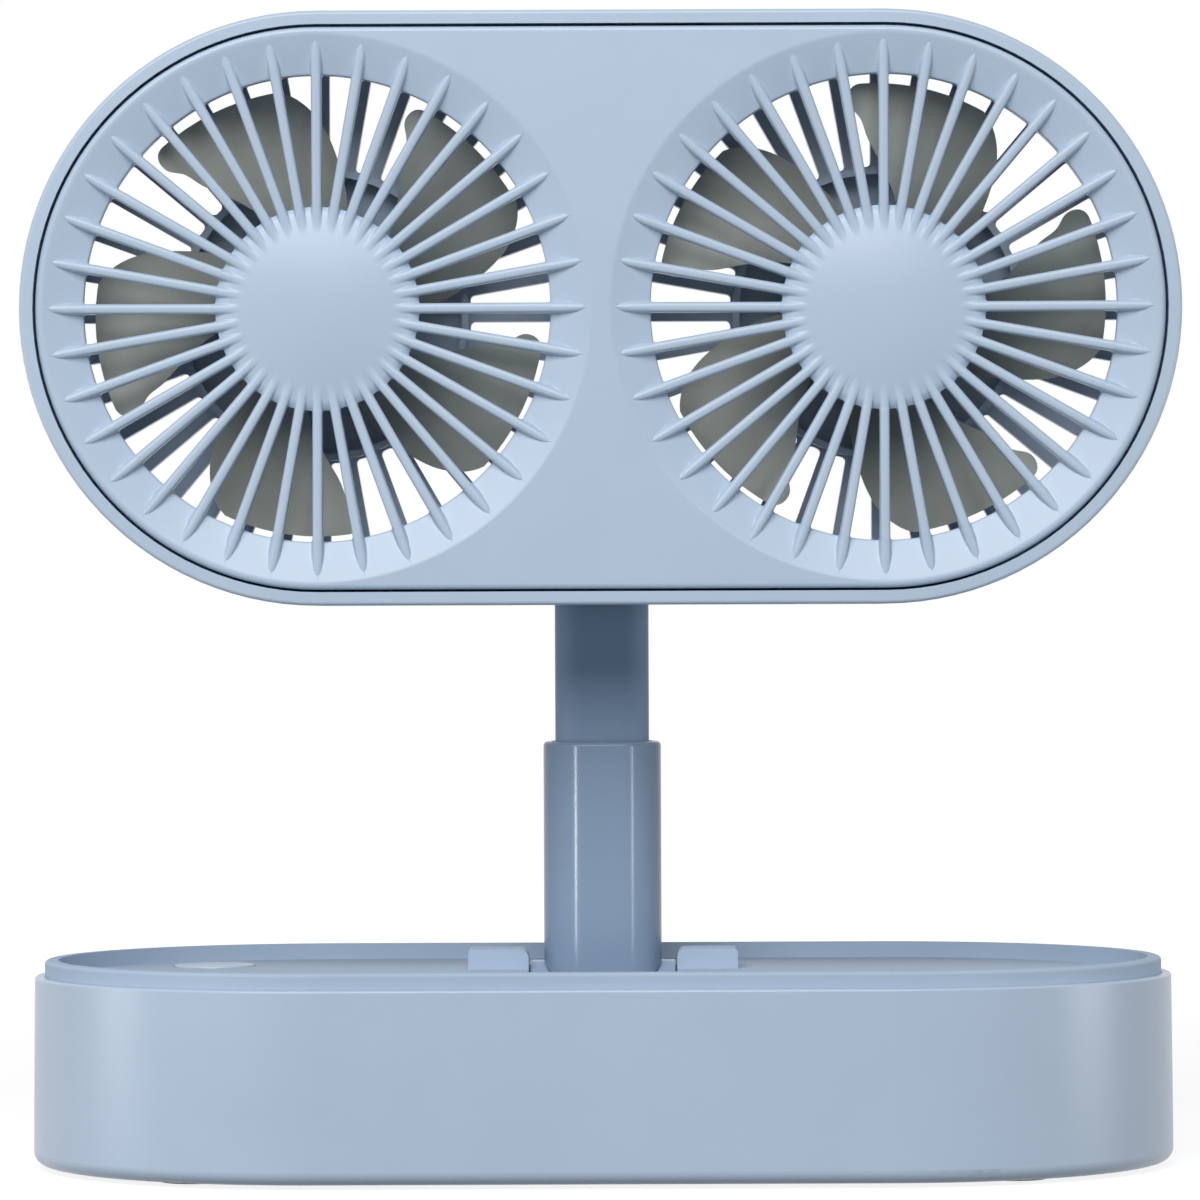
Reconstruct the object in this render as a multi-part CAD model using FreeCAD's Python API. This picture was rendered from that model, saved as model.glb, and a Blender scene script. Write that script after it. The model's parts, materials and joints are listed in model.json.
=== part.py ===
"""Folding desk fan with two fans side by side in one stadium-shaped head.

Millimetres, +Z up, front towards -Y. The origin is the middle of the base at the table.
The head is modelled flat with its face up and the arm upright; both are then placed.
"""
import FreeCAD, Part
import math
import os

# Stadium outline shared by the head and the base, so that the head closes on the base
CASE_WIDTH = 206.0
CASE_DEPTH = 105.4

# How far a cut runs past a face, and the room past a screw's end
OVERCUT = 1.0
SCREW_END_GAP = 1.0

# Base shell
FOOT_PROUD = 0.8
FOOT_RECESS = 0.8
FOOT_RADIUS = 6.0
FOOT_END_INSET = 31.0
FOOT_SIDE_INSET = 20.7
BASE_STEP_Z = 34.6
BASE_WALL = 2.0
BASE_FLOOR = 2.0
BASE_DRAFT = 0.3
BASE_BOTTOM_ROUND = 2.4
BASE_STEP_ROUND = 0.5

# Deck tray with its raised lip
DECK_FIT = 0.1
DECK_THICKNESS = 2.2
LIP_HEIGHT = 2.9
LIP_THICKNESS = 2.4
LIP_ROUND = 0.7

# Screws that hold the deck to the shell
POST_END_INSET = 15.0
POST_CRADLE_GAP = 0.2
POST_RADIUS = 3.8
POST_SPLIT_Z = 18.0
BASE_SCREW_RADIUS = 1.25
BASE_SCREW_HEAD_RADIUS = 2.4
BASE_SCREW_HEAD_LENGTH = 1.8
BASE_SCREW_LENGTH = 12.0
BASE_SCREW_SEAT = 2.0
SCREW_FIT = 0.05
SCREW_HEAD_FIT = 0.3

# Arm hinge on the deck
HINGE_Y = 17.5
HINGE_DROP = 6.2
BARREL_WIDTH = 26.4
BARREL_RADIUS = 7.6
EAR_GAP = 0.4
EAR_WIDTH = 11.1
EAR_DEPTH = 12.0
EAR_HEIGHT = 3.6
EAR_INNER_ROUND = 1.6
EAR_OUTER_ROUND = 0.8
EAR_BOSS_DROP = 5.0
HINGE_PIN_RADIUS = 1.75
HINGE_PIN_OVERHANG = 1.4
PIN_FIT = 0.05
CLIP_THICKNESS = 0.6
CLIP_RADIUS = 3.2
WASHER_RADIUS = 5.0
WASHER_THICKNESS = 0.3
TROUGH_WALL = 1.8
TROUGH_SWING_GAP = 0.8
TROUGH_END_GAP = 2.0

# Telescoping arm, measured along the arm from the base hinge
LOWER_TUBE_WIDTH = 21.6
LOWER_TUBE_DEPTH = 18.6
LOWER_TUBE_CORNER = 7.4
LOWER_TUBE_WALL = 1.5
LOWER_TUBE_START = 5.0
LOWER_TUBE_FOOT_ROUND = 3.5
LOWER_TUBE_TOP_ROUND = 0.8
SLEEVE_WALL = 0.6
SLEEVE_LENGTH = 6.0
SLEEVE_INSET = 0.5
SLIDE_FIT = 0.05
UPPER_TUBE_WALL = 1.6
STOP_LENGTH = 3.0
STOP_GAP = 0.3
STOP_SPIGOT = 4.0
FOOT_PLUG_LENGTH = 4.6
FOOT_PLUG_GAP = 0.4
ARM_LENGTH = 85.5
GRUB_RADIUS = 1.0
GRUB_LENGTH = 5.0
GRUB_X = 3.8
GRUB_SINK = 0.3

# Hinge between the arm and the head
HEAD_HINGE_INSET = 12.7
KNUCKLE_RADIUS = 5.5
KNUCKLE_WIDTH = 13.4
KNUCKLE_NECK = 10.0
KNUCKLE_CAP = 0.7
KNUCKLE_PLUG = 8.0
KNUCKLE_EAR_GAP = 0.3
HEAD_EAR_WIDTH = 5.0
BRACKET_HEIGHT = 14.0
BRACKET_THICKNESS = 1.6
HEAD_PIN_RADIUS = 2.0

# Head casing, with depths measured forward from the head hinge
HEAD_FRONT = 43.9
HEAD_REAR = 10.3
HEAD_WALL = 2.4
REAR_PLATE = 2.0
RIM_ROUND = 0.7
SKIRT_DEPTH = 3.8
SKIRT_THICKNESS = 1.5
SKIRT_NOTCH_GAP = 1.2

# Front cover and its grilles
PARTING_GAP = 0.45
COVER_SINK = 0.2
COVER_THICKNESS = 2.2
COVER_ROUND = 0.8
COVER_RING_DEPTH = 4.2
DISH_MARGIN = 0.95
DISH_MIDDLE_GAP = 1.4
DISH_WIDTH = 7.5
DISH_DEPTH = 2.4
DISH_LIP_DROP = 0.4
CAP_RADIUS = 18.1
CAP_EDGE_SINK = 2.5
CAP_RISE = 2.0
RIB_COUNT = 36
RIB_WIDTH = 1.8
RIB_CHAMFER = 0.5
RIB_BACK_GAP = 0.4
RIB_TIP_REACH = 6.1
RIB_TIP_SHOULDER = 1.4
RIB_TIP_SINK = 0.7
RIB_ROOT_REACH = 5.1
RIB_ROOT_SHOULDER = 2.9
RIB_ROOT_SINK = 1.55

# Rear grilles, ducts and motor seats
REAR_SLOT_INNER_RADIUS = 26.8
REAR_SLOT_REACH = 2.9
REAR_RIB_WIDTH = 2.3
REAR_SLOT_INNER_ROUND = 0.9
REAR_SLOT_OUTER_ROUND = 0.5
REAR_GRILLE_DEPTH = 3.6
SEAT_RING_GAP = 0.4
SEAT_RING_WALL = 1.2
SEAT_RING_HEIGHT = 4.0
DUCT_GAP = 0.8
DUCT_WALL = 1.2
DUCT_HEIGHT = 22.0

# Screws that hold the cover to the rear housing
HEAD_POST_X = 18.0
HEAD_POST_INSET = 8.7
HEAD_POST_RADIUS = 3.0
HEAD_POST_LENGTH = 18.0
HEAD_SCREW_RADIUS = 1.0
HEAD_SCREW_HEAD_RADIUS = 2.1
HEAD_SCREW_HEAD_LENGTH = 1.2
HEAD_SCREW_LENGTH = 24.0
HEAD_SCREW_SINK = 0.3
BRACKET_SCREW_LENGTH = 6.0

# Motors
MOTOR_RADIUS = 12.0
MOTOR_LENGTH = 10.7
MOTOR_CAP_RADIUS = 11.5
MOTOR_CAP_LENGTH = 2.0
BUSH_RADIUS = 3.0
BUSH_LENGTH = 1.5
SHAFT_RADIUS = 1.0
SHAFT_FIT = 0.05
PRESS_FIT = 0.01
SHAFT_TAIL = 1.0
MOTOR_SCREW_SPREAD = 8.0
MOTOR_SCREW_LENGTH = 7.0
LEAD_RADIUS = 0.75
LEAD_ANGLE = 40.0
LEAD_TAIL = 2.6

# Impellers
BLADE_COUNT = 5
BLADE_TIP_GAP = 1.1
BLADE_THICKNESS = 1.3
BLADE_LIFT_PER_RADIAN = 14.3
BLADE_MIDDLE = 27.0
BLADE_MIDDLE_ANGLE = -30.0
BLADE_SHEET_ANGLES = (-80.0, 16.0)
BLADE_SHEET_ROWS = 6
BLADE_SHEET_COLUMNS = 13
# Blade edges as (share of the reach from root to tip, degrees round the hub), and the ends of the tip's arc
BLADE_LEADING_EDGE = [(0.0, -60), (0.25, -57), (0.5, -51), (0.75, -45), (0.92, -39)]
BLADE_TRAILING_EDGE = [(0.95, 2.2), (0.86, 2.6), (0.77, 0.2), (0.65, -1.3), (0.5, -4.5), (0.36, -8.5),
                       (0.2, -13.5), (0.0, -19)]
BLADE_TIP_ANGLES = (-34, -18, -1)
HUB_RADIUS = 15.5
HUB_WALL = 1.5
HUB_REAR = 21.0
HUB_FRONT = 35.0
HUB_ROUND = 1.5
HUB_BOSS_RADIUS = 3.2
HUB_BOSS_LENGTH = 6.0
LEFT_BLADE_ANGLE = 62.5
RIGHT_BLADE_ANGLE = 24.4

# Power button, its switch and the control board
BUTTON_END_INSET = 8.0
BUTTON_BACK_INSET = 14.0
BUTTON_RADIUS = 7.5
BUTTON_FIT = 0.2
BUTTON_PROUD = 0.4
BUTTON_FLANGE = 1.2
BUTTON_FLANGE_THICKNESS = 0.8
BUTTON_STEM_RADIUS = 1.6
BUTTON_TRAVEL = 0.8
BUTTON_ROUND = 0.5
SWITCH_WIDTH = 6.0
SWITCH_HEIGHT = 3.8
SWITCH_PLUNGER = 0.8
SWITCH_GAP = 0.1
BOARD_EAR_GAP = 5.3
BOARD_DEPTH = 22.0
BOARD_THICKNESS = 1.6
BOARD_WALL_GAP = 0.9
BOARD_BACK_GAP = 10.7
BOARD_POST_INSET = 4.0
BOARD_POST_GAP = 2.0
BOARD_POST_RADIUS = 2.4
BOARD_SCREW_RADIUS = 1.0
BOARD_SCREW_HEAD_RADIUS = 1.9
BOARD_SCREW_HEAD_LENGTH = 1.2
BOARD_SCREW_LENGTH = 4.0
SOCKET_INSET = 10.0
SOCKET_WIDTH = 8.9
SOCKET_HEIGHT = 3.3
SOCKET_DEPTH = 10.5
SOCKET_SHELL = 0.35
SOCKET_FIT = 0.25
SOCKET_SINK = 0.4
CONTACT_WIDTH = 5.9
CONTACT_LENGTH = 8.4
CONTACT_THICKNESS = 0.7
TONGUE_MARGIN = 1.5

# Batteries
CELL_RADIUS = 9.0
CELL_LENGTH = 65.0
CELL_X = 18.0
CELL_Y = -8.0
CELL_FLOOR_GAP = 1.4
CELL_ROUND = 0.8
CRADLE_LENGTH = 6.0
CRADLE_WIDTH = 20.0
CRADLE_FIT = 0.1
CRADLE_INSET = 8.0
LINK_WIDTH = 6.0
LINK_THICKNESS = 0.3

# Places worked out from the sizes above
END_RADIUS = CASE_DEPTH / 2
FAN_X = (CASE_WIDTH - CASE_DEPTH) / 2
FOOT_X = CASE_WIDTH / 2 - FOOT_END_INSET
FOOT_Y = CASE_DEPTH / 2 - FOOT_SIDE_INSET
POST_X = CASE_WIDTH / 2 - POST_END_INSET
POST_Y = CRADLE_WIDTH / 2 - CELL_Y + POST_CRADLE_GAP + POST_RADIUS
HEAD_POST_Y = CASE_DEPTH / 2 - HEAD_POST_INSET
FLOOR_Z = FOOT_PROUD + BASE_FLOOR
DECK_Z = BASE_STEP_Z
DECK_UNDER_Z = DECK_Z - DECK_THICKNESS
LIP_TOP_Z = DECK_Z + LIP_HEIGHT
LIP_INSET = BASE_WALL + DECK_FIT
HINGE_Z = DECK_Z - HINGE_DROP
EAR_INNER_X = BARREL_WIDTH / 2 + EAR_GAP
EAR_OUTER_X = EAR_INNER_X + EAR_WIDTH
HEAD_HINGE_DROP = CASE_DEPTH / 2 - HEAD_HINGE_INSET
ARM_CLOSED_LENGTH = HINGE_Y + HEAD_HINGE_DROP
ARM_TRAVEL = ARM_LENGTH - ARM_CLOSED_LENGTH
SWING_RADIUS = math.hypot(LOWER_TUBE_DEPTH / 2, LOWER_TUBE_START)
TROUGH_FLOOR_Z = HINGE_Z - SWING_RADIUS - TROUGH_SWING_GAP
TROUGH_BACK_Y = HINGE_Y + SWING_RADIUS + TROUGH_SWING_GAP
TROUGH_FRONT_Y = -HEAD_HINGE_DROP - KNUCKLE_RADIUS - TROUGH_END_GAP
FOOT_PLUG_TOP = LOWER_TUBE_START + FOOT_PLUG_LENGTH
STOP_BOTTOM = FOOT_PLUG_TOP + FOOT_PLUG_GAP + ARM_TRAVEL
STOP_TOP = STOP_BOTTOM + STOP_LENGTH
SLEEVE_BOTTOM = STOP_TOP + STOP_GAP
SLEEVE_TOP = SLEEVE_BOTTOM + SLEEVE_LENGTH
LOWER_TUBE_TOP = SLEEVE_TOP + SLEEVE_INSET
FOOT_GRUB_Z = FOOT_PLUG_TOP - 2 * GRUB_RADIUS
LOWER_BORE_INSET = LOWER_TUBE_WALL
SLEEVE_OUTER_INSET = LOWER_BORE_INSET + SLIDE_FIT
SLEEVE_INNER_INSET = SLEEVE_OUTER_INSET + SLEEVE_WALL
UPPER_TUBE_INSET = SLEEVE_INNER_INSET + SLIDE_FIT
UPPER_BORE_INSET = UPPER_TUBE_INSET + UPPER_TUBE_WALL
UPPER_TUBE_TOP = ARM_LENGTH - KNUCKLE_RADIUS - KNUCKLE_EAR_GAP - KNUCKLE_CAP
KNUCKLE_GRUB_Z = UPPER_TUBE_TOP - KNUCKLE_PLUG / 2
REAR_INNER = HEAD_REAR + REAR_PLATE
COVER_FRONT = HEAD_FRONT - COVER_SINK
COVER_BACK = COVER_FRONT - COVER_THICKNESS
COVER_RING_BACK = COVER_FRONT - COVER_RING_DEPTH
COVER_INSET = HEAD_WALL + PARTING_GAP
DISH_RADIUS = min(END_RADIUS - COVER_INSET - DISH_MARGIN, FAN_X - DISH_MIDDLE_GAP)
SLOT_OUTER_RADIUS = DISH_RADIUS - DISH_WIDTH
BLADE_TIP_RADIUS = SLOT_OUTER_RADIUS - BLADE_TIP_GAP
GRILLE_FRONT = HEAD_REAR + REAR_GRILLE_DEPTH
REAR_SLOT_OUTER_RADIUS = SLOT_OUTER_RADIUS + REAR_SLOT_REACH
DUCT_INNER_RADIUS = REAR_SLOT_OUTER_RADIUS + DUCT_GAP
DUCT_OUTER_RADIUS = DUCT_INNER_RADIUS + DUCT_WALL
LEAD_REACH = DUCT_OUTER_RADIUS + LEAD_TAIL
MOTOR_REAR = REAR_INNER + MOTOR_CAP_LENGTH
MOTOR_FRONT = MOTOR_REAR + MOTOR_LENGTH
BOARD_RIGHT = -EAR_OUTER_X - BOARD_EAR_GAP
BOARD_BACK = CASE_DEPTH / 2 - BASE_WALL - BOARD_BACK_GAP
BOARD_CORNER_RADIUS = END_RADIUS - BASE_WALL - BOARD_WALL_GAP
BOARD_LEFT = -FAN_X - math.sqrt(BOARD_CORNER_RADIUS ** 2 - BOARD_BACK ** 2)
BOARD_FRONT = BOARD_BACK - BOARD_DEPTH
BUTTON_X = BOARD_LEFT + BUTTON_END_INSET
BUTTON_Y = BOARD_BACK - BUTTON_BACK_INSET
SOCKET_X = BOARD_RIGHT - SOCKET_INSET
BUTTON_FLANGE_TOP = DECK_UNDER_Z - BUTTON_FIT
BUTTON_STEM_BOTTOM = BUTTON_FLANGE_TOP - BUTTON_FLANGE_THICKNESS
BOARD_TOP_Z = BUTTON_STEM_BOTTOM - BUTTON_TRAVEL - SWITCH_GAP - SWITCH_HEIGHT
CELL_Z = FLOOR_Z + CELL_FLOOR_GAP + CELL_RADIUS
FAN_PLACES = {"left": (-FAN_X, LEFT_BLADE_ANGLE), "right": (FAN_X, RIGHT_BLADE_ANGLE)}

X_AXIS = FreeCAD.Vector(1, 0, 0)
Y_AXIS = FreeCAD.Vector(0, 1, 0)
Z_AXIS = FreeCAD.Vector(0, 0, 1)


def vector(x, y, z):
    return FreeCAD.Vector(x, y, z)


def box(low, high):
    """Box between two opposite corners."""
    size = [b - a for a, b in zip(low, high)]
    return Part.makeBox(size[0], size[1], size[2], vector(*low))


def post(x, y, z_low, z_high, radius):
    """Upright cylinder."""
    return Part.makeCylinder(radius, z_high - z_low, vector(x, y, z_low), Z_AXIS)


def tube(x, y, z_low, z_high, outer_radius, inner_radius):
    """Upright pipe."""
    return post(x, y, z_low, z_high, outer_radius).cut(post(x, y, z_low, z_high, inner_radius))


def crossbar(x_low, x_high, y, z, radius):
    """Cylinder along X."""
    return Part.makeCylinder(radius, x_high - x_low, vector(x_low, y, z), X_AXIS)


def fuse_all(shapes):
    """One solid from overlapping shapes."""
    return shapes[0].multiFuse(shapes[1:]).removeSplitter()


def rounded_outline(half_x, half_y, corner, z):
    """Closed wire of a rectangle with round corners, about the Z axis."""
    straight_x = half_x - corner
    straight_y = half_y - corner
    edges = []
    corners = [(straight_x, straight_y), (-straight_x, straight_y), (-straight_x, -straight_y),
               (straight_x, -straight_y)]
    points = []
    for index, (x, y) in enumerate(corners):
        start = math.radians(90 * index)
        for turn in (0, 45, 90):
            angle = start + math.radians(turn)
            points.append(vector(x + corner * math.cos(angle), y + corner * math.sin(angle), z))
    for index in range(len(corners)):
        first, middle, last = points[3 * index:3 * index + 3]
        following = points[(3 * index + 3) % len(points)]
        edges.append(Part.Arc(first, middle, last).toShape())
        if last.distanceToPoint(following) > 1e-6:
            edges.append(Part.LineSegment(last, following).toShape())
    return Part.Wire(edges)


def stadium_outline(inset, z):
    """Wire of the casing's stadium, set in by a margin."""
    return rounded_outline(CASE_WIDTH / 2 - inset, CASE_DEPTH / 2 - inset, END_RADIUS - inset, z)


def stadium(inset, z_low, z_high):
    """Upright solid of the casing's stadium, set in by a margin."""
    face = Part.Face(stadium_outline(inset, z_low))
    return face.extrude(vector(0, 0, z_high - z_low))


def arm_section(inset, z_low, z_high):
    """Upright solid of the arm's rounded section, set in from the lower tube's outside."""
    outline = rounded_outline(LOWER_TUBE_WIDTH / 2 - inset, LOWER_TUBE_DEPTH / 2 - inset,
                              LOWER_TUBE_CORNER - inset, z_low)
    return Part.Face(outline).extrude(vector(0, 0, z_high - z_low))


def lies_at(low, high, place, tolerance=1e-4):
    """Whether a span has no length and lies at one place."""
    return abs(low - place) < tolerance and abs(high - place) < tolerance


def edges_at_height(shape, z):
    """Edges that lie flat at one height."""
    return [edge for edge in shape.Edges if lies_at(edge.BoundBox.ZMin, edge.BoundBox.ZMax, z)]


def prism(corners, sweep):
    """Solid with flat faces, swept from a polygon."""
    return Part.Face(Part.makePolygon(corners + corners[:1])).extrude(sweep)


def revolve_profile(points, x):
    """Solid turned about the upright axis at x from (radius, height) points."""
    corners = [vector(radius, 0, height) for radius, height in points]
    solid = Part.Face(Part.makePolygon(corners + corners[:1])).revolve(vector(0, 0, 0), Z_AXIS, 360)
    solid.translate(vector(x, 0, 0))
    return solid


def screw(x, y, seat_z, length, radius, head_radius, head_length, upward=True):
    """Screw with a flat head; the head's bearing face is at seat_z and the shank points up or down."""
    sign = 1 if upward else -1
    shank = Part.makeCylinder(radius, length, vector(x, y, seat_z), vector(0, 0, sign))
    head = Part.makeCylinder(head_radius, head_length, vector(x, y, seat_z), vector(0, 0, -sign))
    return shank.fuse(head).removeSplitter()


def corner_places(x, y):
    """Four places, one in each quarter."""
    return [(sx * x, sy * y) for sx in (-1, 1) for sy in (-1, 1)]


# Base


def base_shell():
    outlines = [stadium_outline(0, FOOT_PROUD), stadium_outline(BASE_DRAFT, BASE_STEP_Z)]
    outer = Part.makeLoft(outlines, True, True)
    outer = outer.makeFillet(BASE_BOTTOM_ROUND, edges_at_height(outer, FOOT_PROUD))
    outer = outer.makeFillet(BASE_STEP_ROUND, edges_at_height(outer, BASE_STEP_Z))
    shell = outer.cut(stadium(BASE_WALL, FLOOR_Z, BASE_STEP_Z + OVERCUT))
    solids = [shell]
    for x, y in corner_places(POST_X, POST_Y):
        solids.append(post(x, y, FLOOR_Z - BASE_FLOOR / 2, POST_SPLIT_Z, POST_RADIUS))
    shell = fuse_all(solids)
    seat_z = POST_SPLIT_Z - BASE_SCREW_SEAT
    cuts = []
    for x, y in corner_places(POST_X, POST_Y):
        cuts.append(post(x, y, 0, seat_z, BASE_SCREW_HEAD_RADIUS + SCREW_HEAD_FIT))
        cuts.append(post(x, y, 0, POST_SPLIT_Z + OVERCUT, BASE_SCREW_RADIUS + SCREW_FIT))
    for x, y in corner_places(FOOT_X, FOOT_Y):
        cuts.append(post(x, y, 0, FOOT_PROUD + FOOT_RECESS, FOOT_RADIUS + SCREW_FIT))
    cuts.append(socket_window())
    return shell.cut(cuts)


def socket_window():
    """Hole in the back wall that the charging socket sits in."""
    half_width = SOCKET_WIDTH / 2 + SOCKET_FIT
    half_height = SOCKET_HEIGHT / 2 + SOCKET_FIT
    face = Part.Face(rounded_outline(half_width, half_height, half_height, 0))
    window = face.extrude(vector(0, 0, 4 * BASE_WALL))
    window.rotate(vector(0, 0, 0), X_AXIS, -90)
    window.translate(vector(SOCKET_X, CASE_DEPTH / 2 - 2 * BASE_WALL, BOARD_TOP_Z + SOCKET_HEIGHT / 2))
    return window


def rubber_feet():
    feet = [post(x, y, 0, FOOT_PROUD + FOOT_RECESS, FOOT_RADIUS) for x, y in corner_places(FOOT_X, FOOT_Y)]
    return Part.makeCompound(feet)


def base_screws():
    seat_z = POST_SPLIT_Z - BASE_SCREW_SEAT
    return Part.makeCompound([screw(x, y, seat_z, BASE_SCREW_LENGTH, BASE_SCREW_RADIUS,
                                    BASE_SCREW_HEAD_RADIUS, BASE_SCREW_HEAD_LENGTH)
                              for x, y in corner_places(POST_X, POST_Y)])


def hinge_ear(side):
    """Boss beside the trough that carries the hinge pin, with its visible top above the deck."""
    bottom = HINGE_Z - EAR_BOSS_DROP
    top = DECK_Z + EAR_HEIGHT
    block = box((EAR_INNER_X, HINGE_Y - EAR_DEPTH / 2, bottom), (EAR_OUTER_X, HINGE_Y + EAR_DEPTH / 2, top))
    for side_x, radius in ((EAR_INNER_X, EAR_INNER_ROUND), (EAR_OUTER_X, EAR_OUTER_ROUND)):
        edges = [edge for edge in edges_at_height(block, top)
                 if lies_at(edge.BoundBox.XMin, edge.BoundBox.XMax, side_x)]
        block = block.makeFillet(radius, edges)
    if side < 0:
        block = block.mirror(vector(0, 0, 0), X_AXIS)
    return block


def board_post_places():
    """One post clear of the button, and two at the board's right end."""
    beside_button = BUTTON_X + BUTTON_RADIUS + BUTTON_FLANGE + BOARD_POST_GAP + BOARD_POST_RADIUS
    right = BOARD_RIGHT - BOARD_POST_INSET
    front = BOARD_FRONT + BOARD_POST_INSET
    return [(beside_button, front), (right, front), (right, BOARD_BACK - BOARD_POST_INSET)]


def deck_tray():
    plate = stadium(LIP_INSET, DECK_UNDER_Z, LIP_TOP_Z)
    plate = plate.makeFillet(LIP_ROUND, edges_at_height(plate, LIP_TOP_Z))
    hollow = stadium(LIP_INSET + LIP_THICKNESS, DECK_Z, LIP_TOP_Z + OVERCUT)
    plate = plate.cut(hollow)
    in_deck_z = DECK_Z - DECK_THICKNESS / 2
    trough_half = EAR_INNER_X + TROUGH_WALL
    trough_outer = box((-trough_half, TROUGH_FRONT_Y - TROUGH_WALL, TROUGH_FLOOR_Z - TROUGH_WALL),
                       (trough_half, TROUGH_BACK_Y + TROUGH_WALL, in_deck_z))
    solids = [plate, trough_outer, hinge_ear(1), hinge_ear(-1)]
    for x, y in corner_places(POST_X, POST_Y):
        solids.append(post(x, y, POST_SPLIT_Z, in_deck_z, POST_RADIUS))
    for x, y in board_post_places():
        solids.append(post(x, y, BOARD_TOP_Z, in_deck_z, BOARD_POST_RADIUS))
    tray = fuse_all(solids)
    pin_reach = EAR_OUTER_X + OVERCUT
    cuts = [box((-EAR_INNER_X, TROUGH_FRONT_Y, TROUGH_FLOOR_Z), (EAR_INNER_X, TROUGH_BACK_Y, DECK_Z)),
            crossbar(-pin_reach, pin_reach, HINGE_Y, HINGE_Z, HINGE_PIN_RADIUS + PIN_FIT),
            post(BUTTON_X, BUTTON_Y, 0, LIP_TOP_Z, BUTTON_RADIUS + BUTTON_FIT)]
    for x, y in corner_places(POST_X, POST_Y):
        depth = BASE_SCREW_LENGTH - BASE_SCREW_SEAT + SCREW_END_GAP
        cuts.append(post(x, y, POST_SPLIT_Z - OVERCUT, POST_SPLIT_Z + depth, BASE_SCREW_RADIUS + SCREW_FIT))
    for x, y in board_post_places():
        top = BOARD_TOP_Z + BOARD_SCREW_LENGTH + SCREW_END_GAP
        cuts.append(post(x, y, BOARD_TOP_Z - OVERCUT, top, BOARD_SCREW_RADIUS + SCREW_FIT))
    return tray.cut(cuts)


def base_hinge_pin():
    reach = EAR_OUTER_X + HINGE_PIN_OVERHANG
    return crossbar(-reach, reach, HINGE_Y, HINGE_Z, HINGE_PIN_RADIUS)


def ring_pair(x_inner, thickness, outer_radius):
    """Two rings on the base hinge pin, one each side."""
    rings = []
    for low in (x_inner, -x_inner - thickness):
        high = low + thickness
        disc = crossbar(low, high, HINGE_Y, HINGE_Z, outer_radius)
        bore = crossbar(low - OVERCUT, high + OVERCUT, HINGE_Y, HINGE_Z, HINGE_PIN_RADIUS + PIN_FIT)
        rings.append(disc.cut(bore))
    return Part.makeCompound(rings)


def hinge_clips():
    return ring_pair(EAR_OUTER_X + PIN_FIT, CLIP_THICKNESS, CLIP_RADIUS)


def hinge_washers():
    return ring_pair(EAR_INNER_X - WASHER_THICKNESS, WASHER_THICKNESS, WASHER_RADIUS)


def battery_cells():
    cells = []
    for low in (CELL_X, -CELL_X - CELL_LENGTH):
        cell = crossbar(low, low + CELL_LENGTH, CELL_Y, CELL_Z, CELL_RADIUS)
        cells.append(cell.makeFillet(CELL_ROUND, cell.Edges))
    return Part.makeCompound(cells)


def battery_cradles():
    """Saddles on the shell's floor, two for each cell."""
    cradles = []
    saddle_x = (CELL_X + CRADLE_INSET, CELL_X + CELL_LENGTH - CRADLE_INSET - CRADLE_LENGTH)
    for low in saddle_x + tuple(-x - CRADLE_LENGTH for x in saddle_x):
        high = low + CRADLE_LENGTH
        block = box((low, CELL_Y - CRADLE_WIDTH / 2, FLOOR_Z), (high, CELL_Y + CRADLE_WIDTH / 2, CELL_Z))
        bed = crossbar(low - OVERCUT, high + OVERCUT, CELL_Y, CELL_Z, CELL_RADIUS + CRADLE_FIT)
        cradles.append(block.cut(bed))
    return Part.makeCompound(cradles)


def cell_link_strip():
    """Metal strip under the trough from one cell's end to the other's."""
    half = LINK_WIDTH / 2
    return box((-CELL_X, CELL_Y - half, CELL_Z), (CELL_X, CELL_Y + half, CELL_Z + LINK_THICKNESS))


def control_board():
    bottom = BOARD_TOP_Z - BOARD_THICKNESS
    plate = box((BOARD_LEFT, BOARD_FRONT, bottom), (BOARD_RIGHT, BOARD_BACK, BOARD_TOP_Z))
    half_tongue = SOCKET_WIDTH / 2 + TONGUE_MARGIN
    tongue = box((SOCKET_X - half_tongue, BOARD_BACK - OVERCUT, bottom),
                 (SOCKET_X + half_tongue, CASE_DEPTH / 2 - BASE_WALL - TONGUE_MARGIN, BOARD_TOP_Z))
    board = fuse_all([plate, tongue])
    return board.cut([post(x, y, 0, DECK_Z, BOARD_SCREW_RADIUS + SCREW_FIT) for x, y in board_post_places()])


def board_screws():
    seat_z = BOARD_TOP_Z - BOARD_THICKNESS
    length = BOARD_THICKNESS + BOARD_SCREW_LENGTH
    return Part.makeCompound([screw(x, y, seat_z, length, BOARD_SCREW_RADIUS, BOARD_SCREW_HEAD_RADIUS,
                                    BOARD_SCREW_HEAD_LENGTH) for x, y in board_post_places()])


def button_switch():
    """Push switch on the board under the button, with its plunger."""
    body_top = BOARD_TOP_Z + SWITCH_HEIGHT - SWITCH_PLUNGER
    half = SWITCH_WIDTH / 2
    body = box((BUTTON_X - half, BUTTON_Y - half, BOARD_TOP_Z), (BUTTON_X + half, BUTTON_Y + half, body_top))
    plunger = post(BUTTON_X, BUTTON_Y, BOARD_TOP_Z, BOARD_TOP_Z + SWITCH_HEIGHT, BUTTON_STEM_RADIUS)
    return fuse_all([body, plunger])


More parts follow.
